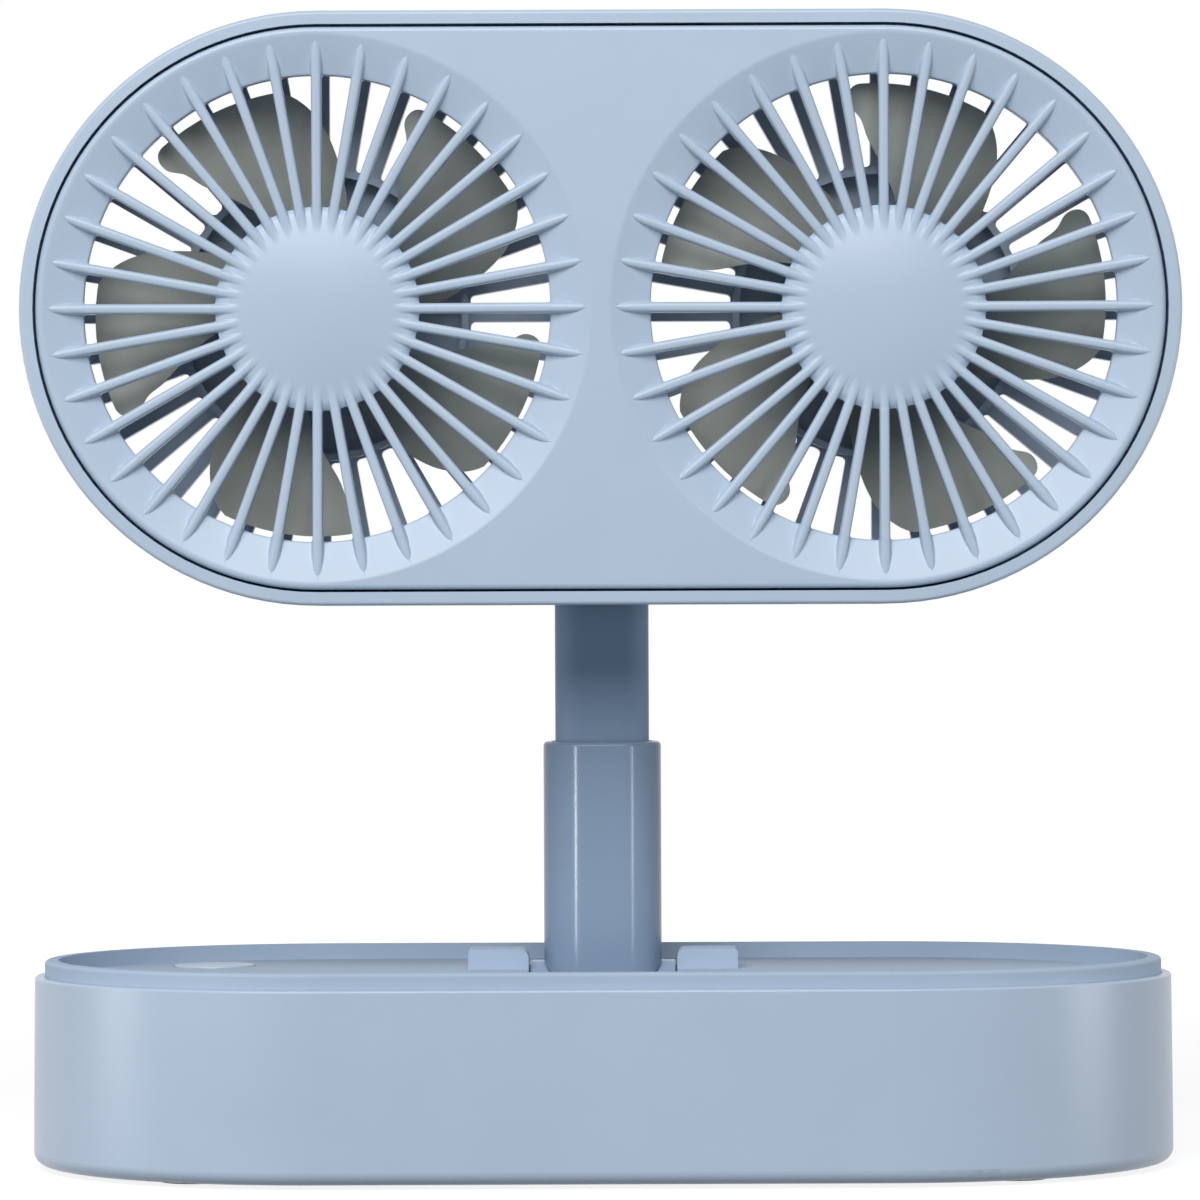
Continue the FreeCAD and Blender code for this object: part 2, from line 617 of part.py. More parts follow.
def charging_socket():
    """Metal shell of the socket with its contact tongue inside."""
    mouth_y = CASE_DEPTH / 2 - SOCKET_SINK
    half_width = SOCKET_WIDTH / 2
    half_height = SOCKET_HEIGHT / 2
    inner_height = half_height - SOCKET_SHELL
    outer = Part.Face(rounded_outline(half_width, half_height, half_height, 0))
    inner = Part.Face(rounded_outline(half_width - SOCKET_SHELL, inner_height, inner_height, SOCKET_SHELL))
    shell = outer.extrude(vector(0, 0, SOCKET_DEPTH)).cut(inner.extrude(vector(0, 0, SOCKET_DEPTH)))
    contact = box((-CONTACT_WIDTH / 2, -CONTACT_THICKNESS / 2, 0),
                  (CONTACT_WIDTH / 2, CONTACT_THICKNESS / 2, CONTACT_LENGTH))
    socket = fuse_all([shell, contact])
    socket.rotate(vector(0, 0, 0), X_AXIS, -90)
    socket.translate(vector(SOCKET_X, mouth_y - SOCKET_DEPTH, BOARD_TOP_Z + half_height))
    return socket


def power_button():
    top = DECK_Z + BUTTON_PROUD
    cap = post(BUTTON_X, BUTTON_Y, BUTTON_STEM_BOTTOM, top, BUTTON_RADIUS)
    cap = cap.makeFillet(BUTTON_ROUND, edges_at_height(cap, top))
    flange = post(BUTTON_X, BUTTON_Y, BUTTON_STEM_BOTTOM, BUTTON_FLANGE_TOP, BUTTON_RADIUS + BUTTON_FLANGE)
    return fuse_all([cap, flange])


# Arm, upright with the base hinge at the origin


def hinge_foot():
    barrel = crossbar(-BARREL_WIDTH / 2, BARREL_WIDTH / 2, 0, 0, BARREL_RADIUS)
    plug = arm_section(LOWER_BORE_INSET + SLIDE_FIT, LOWER_TUBE_START, FOOT_PLUG_TOP)
    foot = fuse_all([barrel, plug])
    cuts = [crossbar(-BARREL_WIDTH, BARREL_WIDTH, 0, 0, HINGE_PIN_RADIUS + PIN_FIT)]
    return foot.cut(cuts + grub_holes(FOOT_GRUB_Z, LOWER_TUBE_DEPTH / 2))


def grub_holes(z, back_y):
    """Holes from the back of a tube for a pair of grub screws."""
    return [Part.makeCylinder(GRUB_RADIUS + SCREW_FIT, GRUB_LENGTH + 2 * GRUB_SINK,
                              vector(x, back_y + GRUB_SINK, z), vector(0, -1, 0)) for x in (-GRUB_X, GRUB_X)]


def grub_screws(z, back_y):
    """Pair of grub screws just under the back of a tube."""
    return Part.makeCompound([Part.makeCylinder(GRUB_RADIUS, GRUB_LENGTH, vector(x, back_y - GRUB_SINK, z),
                                                vector(0, -1, 0)) for x in (-GRUB_X, GRUB_X)])


def lower_tube():
    pipe = arm_section(0, LOWER_TUBE_START, LOWER_TUBE_TOP)
    pipe = pipe.makeFillet(LOWER_TUBE_TOP_ROUND, edges_at_height(pipe, LOWER_TUBE_TOP))
    length = LOWER_TUBE_TOP - LOWER_TUBE_START
    front_outline = rounded_outline(LOWER_TUBE_WIDTH / 2, length, LOWER_TUBE_FOOT_ROUND, 0)
    front_prism = Part.Face(front_outline).extrude(vector(0, 0, 2 * LOWER_TUBE_DEPTH))
    front_prism.rotate(vector(0, 0, 0), X_AXIS, 90)
    front_prism.translate(vector(0, LOWER_TUBE_DEPTH, LOWER_TUBE_TOP))
    pipe = pipe.common(front_prism)
    cuts = [arm_section(LOWER_BORE_INSET, LOWER_TUBE_START - OVERCUT, LOWER_TUBE_TOP + OVERCUT),
            crossbar(-BARREL_WIDTH, BARREL_WIDTH, 0, 0, BARREL_RADIUS + SLIDE_FIT)]
    return pipe.cut(cuts + grub_holes(FOOT_GRUB_Z, LOWER_TUBE_DEPTH / 2))


def friction_sleeve():
    outer = arm_section(SLEEVE_OUTER_INSET, SLEEVE_BOTTOM, SLEEVE_TOP)
    return outer.cut(arm_section(SLEEVE_INNER_INSET, SLEEVE_BOTTOM - OVERCUT, SLEEVE_TOP + OVERCUT))


def upper_tube():
    pipe = arm_section(UPPER_TUBE_INSET, STOP_TOP, UPPER_TUBE_TOP)
    pipe = pipe.cut(arm_section(UPPER_BORE_INSET, STOP_TOP - OVERCUT, UPPER_TUBE_TOP + OVERCUT))
    return pipe.cut(grub_holes(KNUCKLE_GRUB_Z, LOWER_TUBE_DEPTH / 2 - UPPER_TUBE_INSET))


def slide_stop():
    """Ring at the lower end of the upper tube that stops it at the sleeve."""
    flange = arm_section(SLEEVE_OUTER_INSET, STOP_BOTTOM, STOP_TOP)
    spigot = arm_section(UPPER_BORE_INSET + SLIDE_FIT, STOP_BOTTOM, STOP_TOP + STOP_SPIGOT)
    ring = fuse_all([flange, spigot])
    bore_inset = UPPER_BORE_INSET + SLIDE_FIT + UPPER_TUBE_WALL
    return ring.cut(arm_section(bore_inset, STOP_BOTTOM - OVERCUT, UPPER_TUBE_TOP))


def head_knuckle():
    barrel = crossbar(-KNUCKLE_WIDTH / 2, KNUCKLE_WIDTH / 2, 0, ARM_LENGTH, KNUCKLE_RADIUS)
    neck = box((-KNUCKLE_WIDTH / 2, -KNUCKLE_NECK / 2, UPPER_TUBE_TOP),
               (KNUCKLE_WIDTH / 2, KNUCKLE_NECK / 2, ARM_LENGTH))
    cap_top = UPPER_TUBE_TOP + KNUCKLE_CAP
    cap = arm_section(UPPER_TUBE_INSET, UPPER_TUBE_TOP, cap_top)
    plug = arm_section(UPPER_BORE_INSET + SLIDE_FIT, UPPER_TUBE_TOP - KNUCKLE_PLUG, cap_top)
    knuckle = fuse_all([barrel, neck, cap, plug])
    cuts = [crossbar(-KNUCKLE_WIDTH, KNUCKLE_WIDTH, 0, ARM_LENGTH, HEAD_PIN_RADIUS + PIN_FIT)]
    return knuckle.cut(cuts + grub_holes(KNUCKLE_GRUB_Z, LOWER_TUBE_DEPTH / 2 - UPPER_TUBE_INSET))


def head_hinge_pin():
    reach = KNUCKLE_WIDTH / 2 + KNUCKLE_EAR_GAP + HEAD_EAR_WIDTH
    return crossbar(-reach, reach, 0, ARM_LENGTH, HEAD_PIN_RADIUS)


# Head, flat with its face up and the hinge axis in the plane z = 0


def head_bracket():
    """Two ears on a plate under the rear housing."""
    inner = KNUCKLE_WIDTH / 2 + KNUCKLE_EAR_GAP
    outer = inner + HEAD_EAR_WIDTH
    hinge_y = -HEAD_HINGE_DROP
    plate_low = HEAD_REAR - BRACKET_THICKNESS
    half_height = BRACKET_HEIGHT / 2
    solids = [box((-outer, hinge_y - half_height, plate_low), (outer, hinge_y + half_height, HEAD_REAR))]
    for low in (inner, -outer):
        high = low + HEAD_EAR_WIDTH
        solids.append(crossbar(low, high, hinge_y, 0, KNUCKLE_RADIUS))
        solids.append(box((low, hinge_y - KNUCKLE_RADIUS, 0), (high, hinge_y + KNUCKLE_RADIUS, plate_low)))
    bracket = fuse_all(solids)
    cuts = [crossbar(-outer - OVERCUT, outer + OVERCUT, hinge_y, 0, HEAD_PIN_RADIUS + PIN_FIT)]
    hole_end = REAR_INNER - BRACKET_SCREW_LENGTH - SCREW_HEAD_FIT
    for x, y in bracket_screw_places():
        cuts.append(post(x, y, hole_end, HEAD_REAR + OVERCUT, HEAD_SCREW_RADIUS + SCREW_FIT))
    return bracket.cut(cuts)


def bracket_screw_places():
    middle = KNUCKLE_WIDTH / 2 + KNUCKLE_EAR_GAP + HEAD_EAR_WIDTH / 2
    return [(-middle, -HEAD_HINGE_DROP), (middle, -HEAD_HINGE_DROP)]


def bracket_screws():
    return Part.makeCompound([screw(x, y, REAR_INNER, BRACKET_SCREW_LENGTH, HEAD_SCREW_RADIUS,
                                    HEAD_SCREW_HEAD_RADIUS, HEAD_SCREW_HEAD_LENGTH, upward=False)
                              for x, y in bracket_screw_places()])


def rear_slots(x):
    """The gaps between the ribs of one rear grille."""
    slots = []
    first = rear_slot()
    for index in range(RIB_COUNT):
        slot = first.copy()
        slot.rotate(vector(0, 0, 0), Z_AXIS, index * 360 / RIB_COUNT)
        slot.translate(vector(x, 0, 0))
        slots.append(slot)
    return slots


def rear_slot():
    """The gap between two ribs of a rear grille about the Z axis, with round corners."""
    low = HEAD_REAR - OVERCUT
    height = GRILLE_FRONT + OVERCUT - low
    pitch = 360 / RIB_COUNT
    wires = []
    for radius in (REAR_SLOT_INNER_RADIUS, REAR_SLOT_OUTER_RADIUS):
        half_rib = math.degrees(math.asin(REAR_RIB_WIDTH / 2 / radius))
        wires.append([polar(radius, angle, low) for angle in (half_rib, pitch / 2, pitch - half_rib)])
    inner, outer = wires
    outline = Part.Wire([Part.Arc(*inner).toShape(), Part.LineSegment(inner[2], outer[2]).toShape(),
                         Part.Arc(*outer[::-1]).toShape(), Part.LineSegment(outer[0], inner[0]).toShape()])
    slot = Part.Face(outline).extrude(vector(0, 0, height))
    for corners, radius in ((inner, REAR_SLOT_INNER_ROUND), (outer, REAR_SLOT_OUTER_ROUND)):
        slot = slot.makeFillet(radius, [upright_edge(slot, corners[0]), upright_edge(slot, corners[2])])
    return slot


def upright_edge(shape, point):
    """The upright edge that stands on a point."""
    for edge in shape.Edges:
        span = edge.BoundBox
        if lies_at(span.XMin, span.XMax, point.x) and lies_at(span.YMin, span.YMax, point.y):
            return edge
    raise ValueError("no upright edge at this point")


def motor_screw_places(x):
    return [(x, -MOTOR_SCREW_SPREAD), (x, MOTOR_SCREW_SPREAD)]


def lead_direction(x):
    """Unit direction of a motor lead, along a rear rib towards the hinge."""
    angle = math.radians(LEAD_ANGLE)
    return vector(-math.copysign(math.cos(angle), x), -math.sin(angle), 0)


def lead_start(x):
    height = GRILLE_FRONT + LEAD_RADIUS + SHAFT_FIT
    return vector(x, 0, height) + lead_direction(x) * (MOTOR_RADIUS + SHAFT_FIT)


def rear_housing():
    skirt_edge = HEAD_REAR - SKIRT_DEPTH
    body = stadium(0, skirt_edge, HEAD_FRONT)
    body = body.makeFillet(RIM_ROUND, edges_at_height(body, HEAD_FRONT))
    body = body.cut([stadium(HEAD_WALL, REAR_INNER, HEAD_FRONT + OVERCUT),
                     stadium(SKIRT_THICKNESS, skirt_edge - OVERCUT, HEAD_REAR)])
    in_plate = REAR_INNER - REAR_PLATE / 2
    seat_outer = REAR_SLOT_INNER_RADIUS - SEAT_RING_GAP
    seat_inner = seat_outer - SEAT_RING_WALL
    solids = [body]
    for x, _ in FAN_PLACES.values():
        solids.append(tube(x, 0, in_plate, REAR_INNER + DUCT_HEIGHT, DUCT_OUTER_RADIUS, DUCT_INNER_RADIUS))
        solids.append(tube(x, 0, in_plate, GRILLE_FRONT, DUCT_OUTER_RADIUS, seat_inner))
        solids.append(tube(x, 0, in_plate, GRILLE_FRONT + SEAT_RING_HEIGHT, seat_outer, seat_inner))
    for x, y in corner_places(HEAD_POST_X, HEAD_POST_Y):
        solids.append(post(x, y, in_plate, REAR_INNER + HEAD_POST_LENGTH, HEAD_POST_RADIUS))
    housing = fuse_all(solids)
    cuts = []
    for x, _ in FAN_PLACES.values():
        cuts += rear_slots(x)
        cuts.append(lead(x, LEAD_RADIUS + SCREW_HEAD_FIT))
        for screw_x, screw_y in motor_screw_places(x):
            cuts.append(recessed_screw_hole(screw_x, screw_y, REAR_INNER))
    for x, y in corner_places(HEAD_POST_X, HEAD_POST_Y):
        cuts.append(recessed_screw_hole(x, y, REAR_INNER + HEAD_POST_LENGTH))
    for x, y in bracket_screw_places():
        cuts.append(post(x, y, HEAD_REAR - OVERCUT, REAR_INNER + OVERCUT, HEAD_SCREW_RADIUS + SCREW_FIT))
    notch = LOWER_TUBE_WIDTH / 2 + SKIRT_NOTCH_GAP
    notch_back = -CASE_DEPTH / 2 + 2 * SKIRT_THICKNESS
    cuts.append(box((-notch, -CASE_DEPTH, skirt_edge - OVERCUT), (notch, notch_back, HEAD_REAR)))
    return housing.cut(cuts)


def recessed_screw_hole(x, y, top):
    """Hole from the rear face with a counterbore for the screw's head."""
    seat = HEAD_REAR + HEAD_SCREW_SINK + HEAD_SCREW_HEAD_LENGTH
    counterbore = post(x, y, HEAD_REAR - OVERCUT, seat, HEAD_SCREW_HEAD_RADIUS + SCREW_HEAD_FIT)
    return counterbore.fuse(post(x, y, HEAD_REAR - OVERCUT, top + OVERCUT, HEAD_SCREW_RADIUS + SCREW_FIT))


def rear_screw(x, y, length):
    """Screw driven in from the rear face."""
    seat = HEAD_REAR + HEAD_SCREW_SINK + HEAD_SCREW_HEAD_LENGTH
    return screw(x, y, seat, length, HEAD_SCREW_RADIUS, HEAD_SCREW_HEAD_RADIUS, HEAD_SCREW_HEAD_LENGTH)


def head_screws():
    places = corner_places(HEAD_POST_X, HEAD_POST_Y)
    return Part.makeCompound([rear_screw(x, y, HEAD_SCREW_LENGTH) for x, y in places])


def motor_screws():
    places = [place for x, _ in FAN_PLACES.values() for place in motor_screw_places(x)]
    return Part.makeCompound([rear_screw(x, y, MOTOR_SCREW_LENGTH) for x, y in places])


def front_rib():
    """One rib along +X from the middle of a fan: a needle in front view, with a chamfered crest."""
    root = CAP_RADIUS - RIB_ROOT_REACH
    tip = SLOT_OUTER_RADIUS + RIB_TIP_REACH
    half = RIB_WIDTH / 2
    shoulders = (CAP_RADIUS + RIB_ROOT_SHOULDER, SLOT_OUTER_RADIUS - RIB_TIP_SHOULDER)
    floor_z = COVER_RING_BACK + RIB_BACK_GAP
    plan = [(root, 0), (shoulders[0], -half), (shoulders[1], -half), (tip, 0), (shoulders[1], half),
            (shoulders[0], half)]
    needle = prism([vector(x, y, floor_z) for x, y in plan], vector(0, 0, COVER_RING_DEPTH))
    root_z = COVER_FRONT - RIB_ROOT_SINK
    rise = RIB_ROOT_SINK - RIB_TIP_SINK
    crest = half - RIB_CHAMFER
    section = [(-half, -COVER_RING_DEPTH), (half, -COVER_RING_DEPTH), (half, -RIB_CHAMFER), (crest, 0),
               (-crest, 0), (-half, -RIB_CHAMFER)]
    roof = prism([vector(root, y, root_z + z) for y, z in section], vector(tip - root, 0, rise))
    return needle.common(roof)


def grille_cap(x):
    """Domed cap in the middle of a front grille, a slice of a large ball."""
    ball_radius = (CAP_RADIUS ** 2 + CAP_RISE ** 2) / (2 * CAP_RISE)
    ball_z = COVER_FRONT - CAP_EDGE_SINK + CAP_RISE - ball_radius
    ball = Part.makeSphere(ball_radius, vector(x, 0, ball_z))
    return post(x, 0, COVER_RING_BACK, COVER_FRONT + CAP_RISE, CAP_RADIUS).common(ball)


def grille_dish(x):
    """Shallow cone cut into the cover's face, with its edge turned over in a soft round."""
    top = COVER_FRONT + OVERCUT
    floor_z = COVER_FRONT - DISH_DEPTH
    profile = [(0, floor_z), (SLOT_OUTER_RADIUS, floor_z),
               (DISH_RADIUS - DISH_MARGIN, COVER_FRONT - DISH_LIP_DROP), (DISH_RADIUS, COVER_FRONT),
               (DISH_RADIUS, top), (0, top)]
    return revolve_profile(profile, x)


def front_cover():
    plate = stadium(COVER_INSET, COVER_BACK, COVER_FRONT)
    plate = plate.makeFillet(COVER_ROUND, edges_at_height(plate, COVER_FRONT))
    solids = [plate]
    for x, _ in FAN_PLACES.values():
        solids.append(post(x, 0, COVER_RING_BACK, COVER_BACK + COVER_ROUND, DISH_RADIUS))
    for x, y in corner_places(HEAD_POST_X, HEAD_POST_Y):
        solids.append(post(x, y, REAR_INNER + HEAD_POST_LENGTH, COVER_BACK + COVER_ROUND, HEAD_POST_RADIUS))
    cover = fuse_all(solids)
    cuts = []
    for x, _ in FAN_PLACES.values():
        cuts.append(grille_dish(x))
        cuts.append(post(x, 0, COVER_RING_BACK - OVERCUT, COVER_FRONT + OVERCUT, SLOT_OUTER_RADIUS))
    screw_end = HEAD_REAR + HEAD_SCREW_SINK + HEAD_SCREW_HEAD_LENGTH + HEAD_SCREW_LENGTH
    for x, y in corner_places(HEAD_POST_X, HEAD_POST_Y):
        cuts.append(post(x, y, REAR_INNER, screw_end + SCREW_HEAD_FIT, HEAD_SCREW_RADIUS + SCREW_FIT))
    cover = cover.cut(cuts)
    pieces = [cover]
    rib = front_rib()
    for x, _ in FAN_PLACES.values():
        pieces.append(grille_cap(x))
        for index in range(RIB_COUNT):
            copy = rib.copy()
            copy.rotate(vector(0, 0, 0), Z_AXIS, index * 360 / RIB_COUNT)
            copy.translate(vector(x, 0, 0))
            pieces.append(copy)
    return fuse_all(pieces)


def motor(x):
    can = post(x, 0, MOTOR_REAR, MOTOR_FRONT, MOTOR_RADIUS)
    cuts = [post(x, 0, 0, HEAD_FRONT, SHAFT_RADIUS + SHAFT_FIT)]
    screw_end = HEAD_REAR + MOTOR_SCREW_LENGTH + 2 * HEAD_SCREW_HEAD_LENGTH
    for screw_x, screw_y in motor_screw_places(x):
        cuts.append(post(screw_x, screw_y, HEAD_REAR, screw_end, HEAD_SCREW_RADIUS + SCREW_FIT))
    return can.cut(cuts)


def motor_cap(x):
    cap = post(x, 0, REAR_INNER, MOTOR_REAR, MOTOR_CAP_RADIUS)
    cuts = [post(x, 0, REAR_INNER + SHAFT_TAIL / 2, HEAD_FRONT, SHAFT_RADIUS + SHAFT_FIT)]
    for screw_x, screw_y in motor_screw_places(x):
        cuts.append(post(screw_x, screw_y, HEAD_REAR, HEAD_FRONT, HEAD_SCREW_RADIUS + SCREW_FIT))
    return cap.cut(cuts)


def motor_bush(x):
    return tube(x, 0, MOTOR_FRONT, MOTOR_FRONT + BUSH_LENGTH, BUSH_RADIUS, SHAFT_RADIUS + SHAFT_FIT)


def motor_shaft(x):
    return post(x, 0, REAR_INNER + SHAFT_TAIL, HUB_FRONT - HUB_WALL, SHAFT_RADIUS)


def lead(x, radius):
    """Straight run of a motor's lead, or of its groove."""
    return Part.makeCylinder(radius, LEAD_REACH - MOTOR_RADIUS, lead_start(x), lead_direction(x))


def motor_leads():
    return Part.makeCompound([lead(x, LEAD_RADIUS) for x, _ in FAN_PLACES.values()])


def blade_outline():
    """Front view of a blade: a swept leading edge, a round tip and a lobe at the trailing corner."""
    root = HUB_RADIUS - HUB_WALL / 2
    reach = BLADE_TIP_RADIUS - root
    tip = [polar(BLADE_TIP_RADIUS, angle) for angle in BLADE_TIP_ANGLES]
    leading = [polar(root + share * reach, angle) for share, angle in BLADE_LEADING_EDGE]
    trailing = [polar(root + share * reach, angle) for share, angle in BLADE_TRAILING_EDGE]
    lead_curve = Part.BSplineCurve()
    lead_curve.interpolate(leading + tip[:1])
    trail_curve = Part.BSplineCurve()
    trail_curve.interpolate(tip[-1:] + trailing)
    tip_arc = Part.Arc(*tip)
    root_line = Part.LineSegment(trail_curve.EndPoint, lead_curve.StartPoint)
    return Part.Wire([lead_curve.toShape(), tip_arc.toShape(), trail_curve.toShape(), root_line.toShape()])


def polar(radius, degrees, z=0.0):
    angle = math.radians(degrees)
    return vector(radius * math.cos(angle), radius * math.sin(angle), z)


def blade():
    """One blade: a thin screw-shaped sheet trimmed to the blade's outline."""
    inner = HUB_RADIUS - 2 * HUB_WALL
    outer = BLADE_TIP_RADIUS + HUB_WALL
    first_angle, last_angle = BLADE_SHEET_ANGLES
    rows = []
    for row in range(BLADE_SHEET_ROWS):
        radius = inner + (outer - inner) * row / (BLADE_SHEET_ROWS - 1)
        points = []
        for column in range(BLADE_SHEET_COLUMNS):
            angle = first_angle + (last_angle - first_angle) * column / (BLADE_SHEET_COLUMNS - 1)
            lift = BLADE_LIFT_PER_RADIAN * math.radians(angle - BLADE_MIDDLE_ANGLE)
            points.append(polar(radius, angle, BLADE_MIDDLE + lift - BLADE_THICKNESS / 2))
        rows.append(points)
    surface = Part.BSplineSurface()
    surface.interpolate(rows)
    sheet = surface.toShape().extrude(vector(0, 0, BLADE_THICKNESS))
    trim = Part.Face(blade_outline()).extrude(vector(0, 0, HEAD_FRONT))
    return trim.common(sheet)


def impeller(x, blade_angle):
    hub = post(x, 0, HUB_REAR, HUB_FRONT, HUB_RADIUS)
    hub = hub.makeFillet(HUB_ROUND, edges_at_height(hub, HUB_FRONT))
    hub = hub.cut(post(x, 0, HUB_REAR - OVERCUT, HUB_FRONT - HUB_WALL, HUB_RADIUS - HUB_WALL))
    boss = post(x, 0, HUB_FRONT - HUB_WALL - HUB_BOSS_LENGTH, HUB_FRONT - HUB_WALL / 2, HUB_BOSS_RADIUS)
    solids = [hub, boss]
    first_blade = blade()
    for index in range(BLADE_COUNT):
        copy = first_blade.copy()
        copy.rotate(vector(0, 0, 0), Z_AXIS, blade_angle + index * 360 / BLADE_COUNT)
        copy.translate(vector(x, 0, 0))
        solids.append(copy)
    wheel = fuse_all(solids)
    return wheel.cut(post(x, 0, HUB_REAR, HUB_FRONT - HUB_WALL, SHAFT_RADIUS + PRESS_FIT))


ARM_PLACE = FreeCAD.Placement(vector(0, HINGE_Y, HINGE_Z), FreeCAD.Rotation())
HEAD_ON_ARM = FreeCAD.Placement(vector(0, 0, ARM_LENGTH + HEAD_HINGE_DROP), FreeCAD.Rotation(X_AXIS, 90))
HEAD_PLACE = ARM_PLACE.multiply(HEAD_ON_ARM)


def base_nodes():
    return {"base_shell": base_shell(), "deck_tray": deck_tray(), "rubber_feet": rubber_feet(),
            "base_screws": base_screws(), "base_hinge_pin": base_hinge_pin(), "hinge_clips": hinge_clips(),
            "hinge_washers": hinge_washers(), "battery_cells": battery_cells(),
            "battery_cradles": battery_cradles(), "cell_link_strip": cell_link_strip(),
            "control_board": control_board(), "board_screws": board_screws(),
            "button_switch": button_switch(), "charging_socket": charging_socket(),
            "power_button": power_button()}


def arm_nodes():
    return {"hinge_foot": hinge_foot(), "lower_tube": lower_tube(),
            "foot_screws": grub_screws(FOOT_GRUB_Z, LOWER_TUBE_DEPTH / 2),
            "friction_sleeve": friction_sleeve(), "upper_tube": upper_tube(), "slide_stop": slide_stop(),
            "head_knuckle": head_knuckle(),
            "knuckle_screws": grub_screws(KNUCKLE_GRUB_Z, LOWER_TUBE_DEPTH / 2 - UPPER_TUBE_INSET),
            "head_hinge_pin": head_hinge_pin()}


def head_nodes():
    nodes = {"rear_housing": rear_housing(), "front_cover": front_cover(), "head_bracket": head_bracket(),
             "bracket_screws": bracket_screws(), "head_screws": head_screws(), "motor_screws": motor_screws(),
             "motor_leads": motor_leads()}
    for side, (x, blade_angle) in FAN_PLACES.items():
        nodes[side + "_motor"] = motor(x)
        nodes[side + "_motor_cap"] = motor_cap(x)
        nodes[side + "_motor_bush"] = motor_bush(x)
        nodes[side + "_motor_shaft"] = motor_shaft(x)
        nodes[side + "_impeller"] = impeller(x, blade_angle)
    return nodes


def export(nodes, placement):
    for name, shape in nodes.items():
        placed = shape.copy()
        placed.Placement = placement.multiply(placed.Placement)
        placed.exportStep("parts/" + name + ".step")
        print(name, len(placed.Solids), placed.isValid(), round(placed.Volume, 1))


os.makedirs("parts", exist_ok=True)
export(base_nodes(), FreeCAD.Placement())
export(arm_nodes(), ARM_PLACE)
export(head_nodes(), HEAD_PLACE)
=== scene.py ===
"""Looks of a folding desk fan with two fans side by side: its ribbed front cover, finishes, light and camera.

Lengths are in metres in the frame's axes, with +Z up and the front towards -Y. The front cover is built in
millimetres in the head's own axes: x to the right, y up along the head and z out of its face, counted from
the plane of the head's hinge.
"""
import json
import math

import bmesh
import bpy
from mathutils import Matrix, Vector


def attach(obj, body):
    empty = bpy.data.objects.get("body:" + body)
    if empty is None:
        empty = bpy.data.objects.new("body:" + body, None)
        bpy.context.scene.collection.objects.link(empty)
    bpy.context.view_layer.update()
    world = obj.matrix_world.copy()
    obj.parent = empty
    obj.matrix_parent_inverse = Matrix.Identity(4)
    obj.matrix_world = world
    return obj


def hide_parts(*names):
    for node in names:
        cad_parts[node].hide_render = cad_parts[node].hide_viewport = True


MILLIMETRE = 0.001

# Front cover and its grilles, in millimetres
COVER_THICKNESS = 2.2
COVER_ROUND = 0.8
COVER_RING_DEPTH = 4.2
DISH_RADIUS = 48.9
DISH_SLOPE = 1 / 3
DISH_EDGE_RADIUS = 48.6
DISH_EDGE_BLEND = 0.12
DISH_FLAT_RADIUS = 48.96
SLOT_OUTER_RADIUS = 41.4
SLOT_EDGE_ROUND = 0.25
CAP_RADIUS = 18.1
CAP_EDGE_SINK = 2.5
CAP_RISE = 2.0
CAP_EDGE_ROUND = 1.6
CAP_EDGE_DROP = 0.5
RIB_COUNT = 36
RIB_PITCH = 2 * math.pi / RIB_COUNT
RIB_HALF_WIDTH = 0.9
RIB_ROOT_RADIUS = 14.3
RIB_ROOT_SINK = 1.75
RIB_ROOT_BLEND = 0.3
RIB_TIP_RADIUS = 47.4
RIB_TIP_SINK = 0.3
RIB_TIP_BLUNTNESS = 4.5
RIB_TIP_ROUNDNESS = 0.5
RIB_TIP_HALF_WIDTH = 0.06
RIB_CROWN = 0.15
RIB_FLANK = 0.45
RIB_FLANK_POWER = 6
RIB_TIP_BLEND = 0.25
SLOT_FILLET = 0.45
CAP_FILLET = 0.36
POST_X = 18.0
POST_Y = 44.0
POST_RADIUS = 3.0
POST_BORE_RADIUS = 1.05
POST_BORE_DEPTH = 5.8

# Fineness of the cover's mesh: places across a rib as shares of its half width, and cells across a gap
RIB_COLUMNS = (-1.0, -0.94, -0.85, -0.72, -0.55, -0.3, 0.0, 0.3, 0.55, 0.72, 0.85, 0.94, 1.0)
RIB_CELLS = len(RIB_COLUMNS) - 1
GAP_CELLS = 4
SECTOR_CELLS = RIB_CELLS + GAP_CELLS
STRIP_SHARE = 0.07
ROUND_STEPS = 5
POST_STEPS = 32
SHARP_ANGLE = math.radians(40)
MERGE_DISTANCE = 1e-4

# Circles of the cover's mesh: runs as first radius, last radius and count, and places in a fillet as shares
CAP_RUNS = ((3.0, 11.0, 4), (12.0, 15.8, 10), (16.1, 17.9, 9))
FILLET_SHARES = (0.0, 0.05, 0.2, 0.5, 1.0)
SLOT_CIRCLES = 10
SLOT_EDGE_SHARES = (0.2, 0.5, 1.0)
TIP_RUNS = ((42.0, 45.6, 9), (45.9, RIB_TIP_RADIUS, 9))
DISH_EDGE_RADII = (47.7, 48.0, 48.25, 48.45, 48.6, 48.75, 48.87, DISH_FLAT_RADIUS)

# Camera, as fitted to the photograph
CAMERA_PLACE = (-0.0003, -1.140, 0.0997)
CAMERA_PITCH = math.radians(0.12)
CAMERA_ROLL = math.radians(-0.22)
CAMERA_LENS = 188.8
SENSOR_WIDTH = 36.0

# Solids with a duller finish than the rest of their slot, whose colours are also darkened with painted shade
DULLED_AND_SHADED_NODES = {"deck_tray": "dull_plastic_painted_shade", "upper_tube": "dull_arm_plastic_painted_shade"}

# Middle range of a noise, over which a finish goes from one tone or gloss to the other
NOISE_LOW = 0.3
NOISE_HIGH = 0.7

# Stretches of a noise: drawn out into lines along one axis, or left as it is
ALONG_X = (0.02, 1.0, 1.0)
ALONG_Z = (1.0, 1.0, 0.02)
UNSTRETCHED = (1.0, 1.0, 1.0)

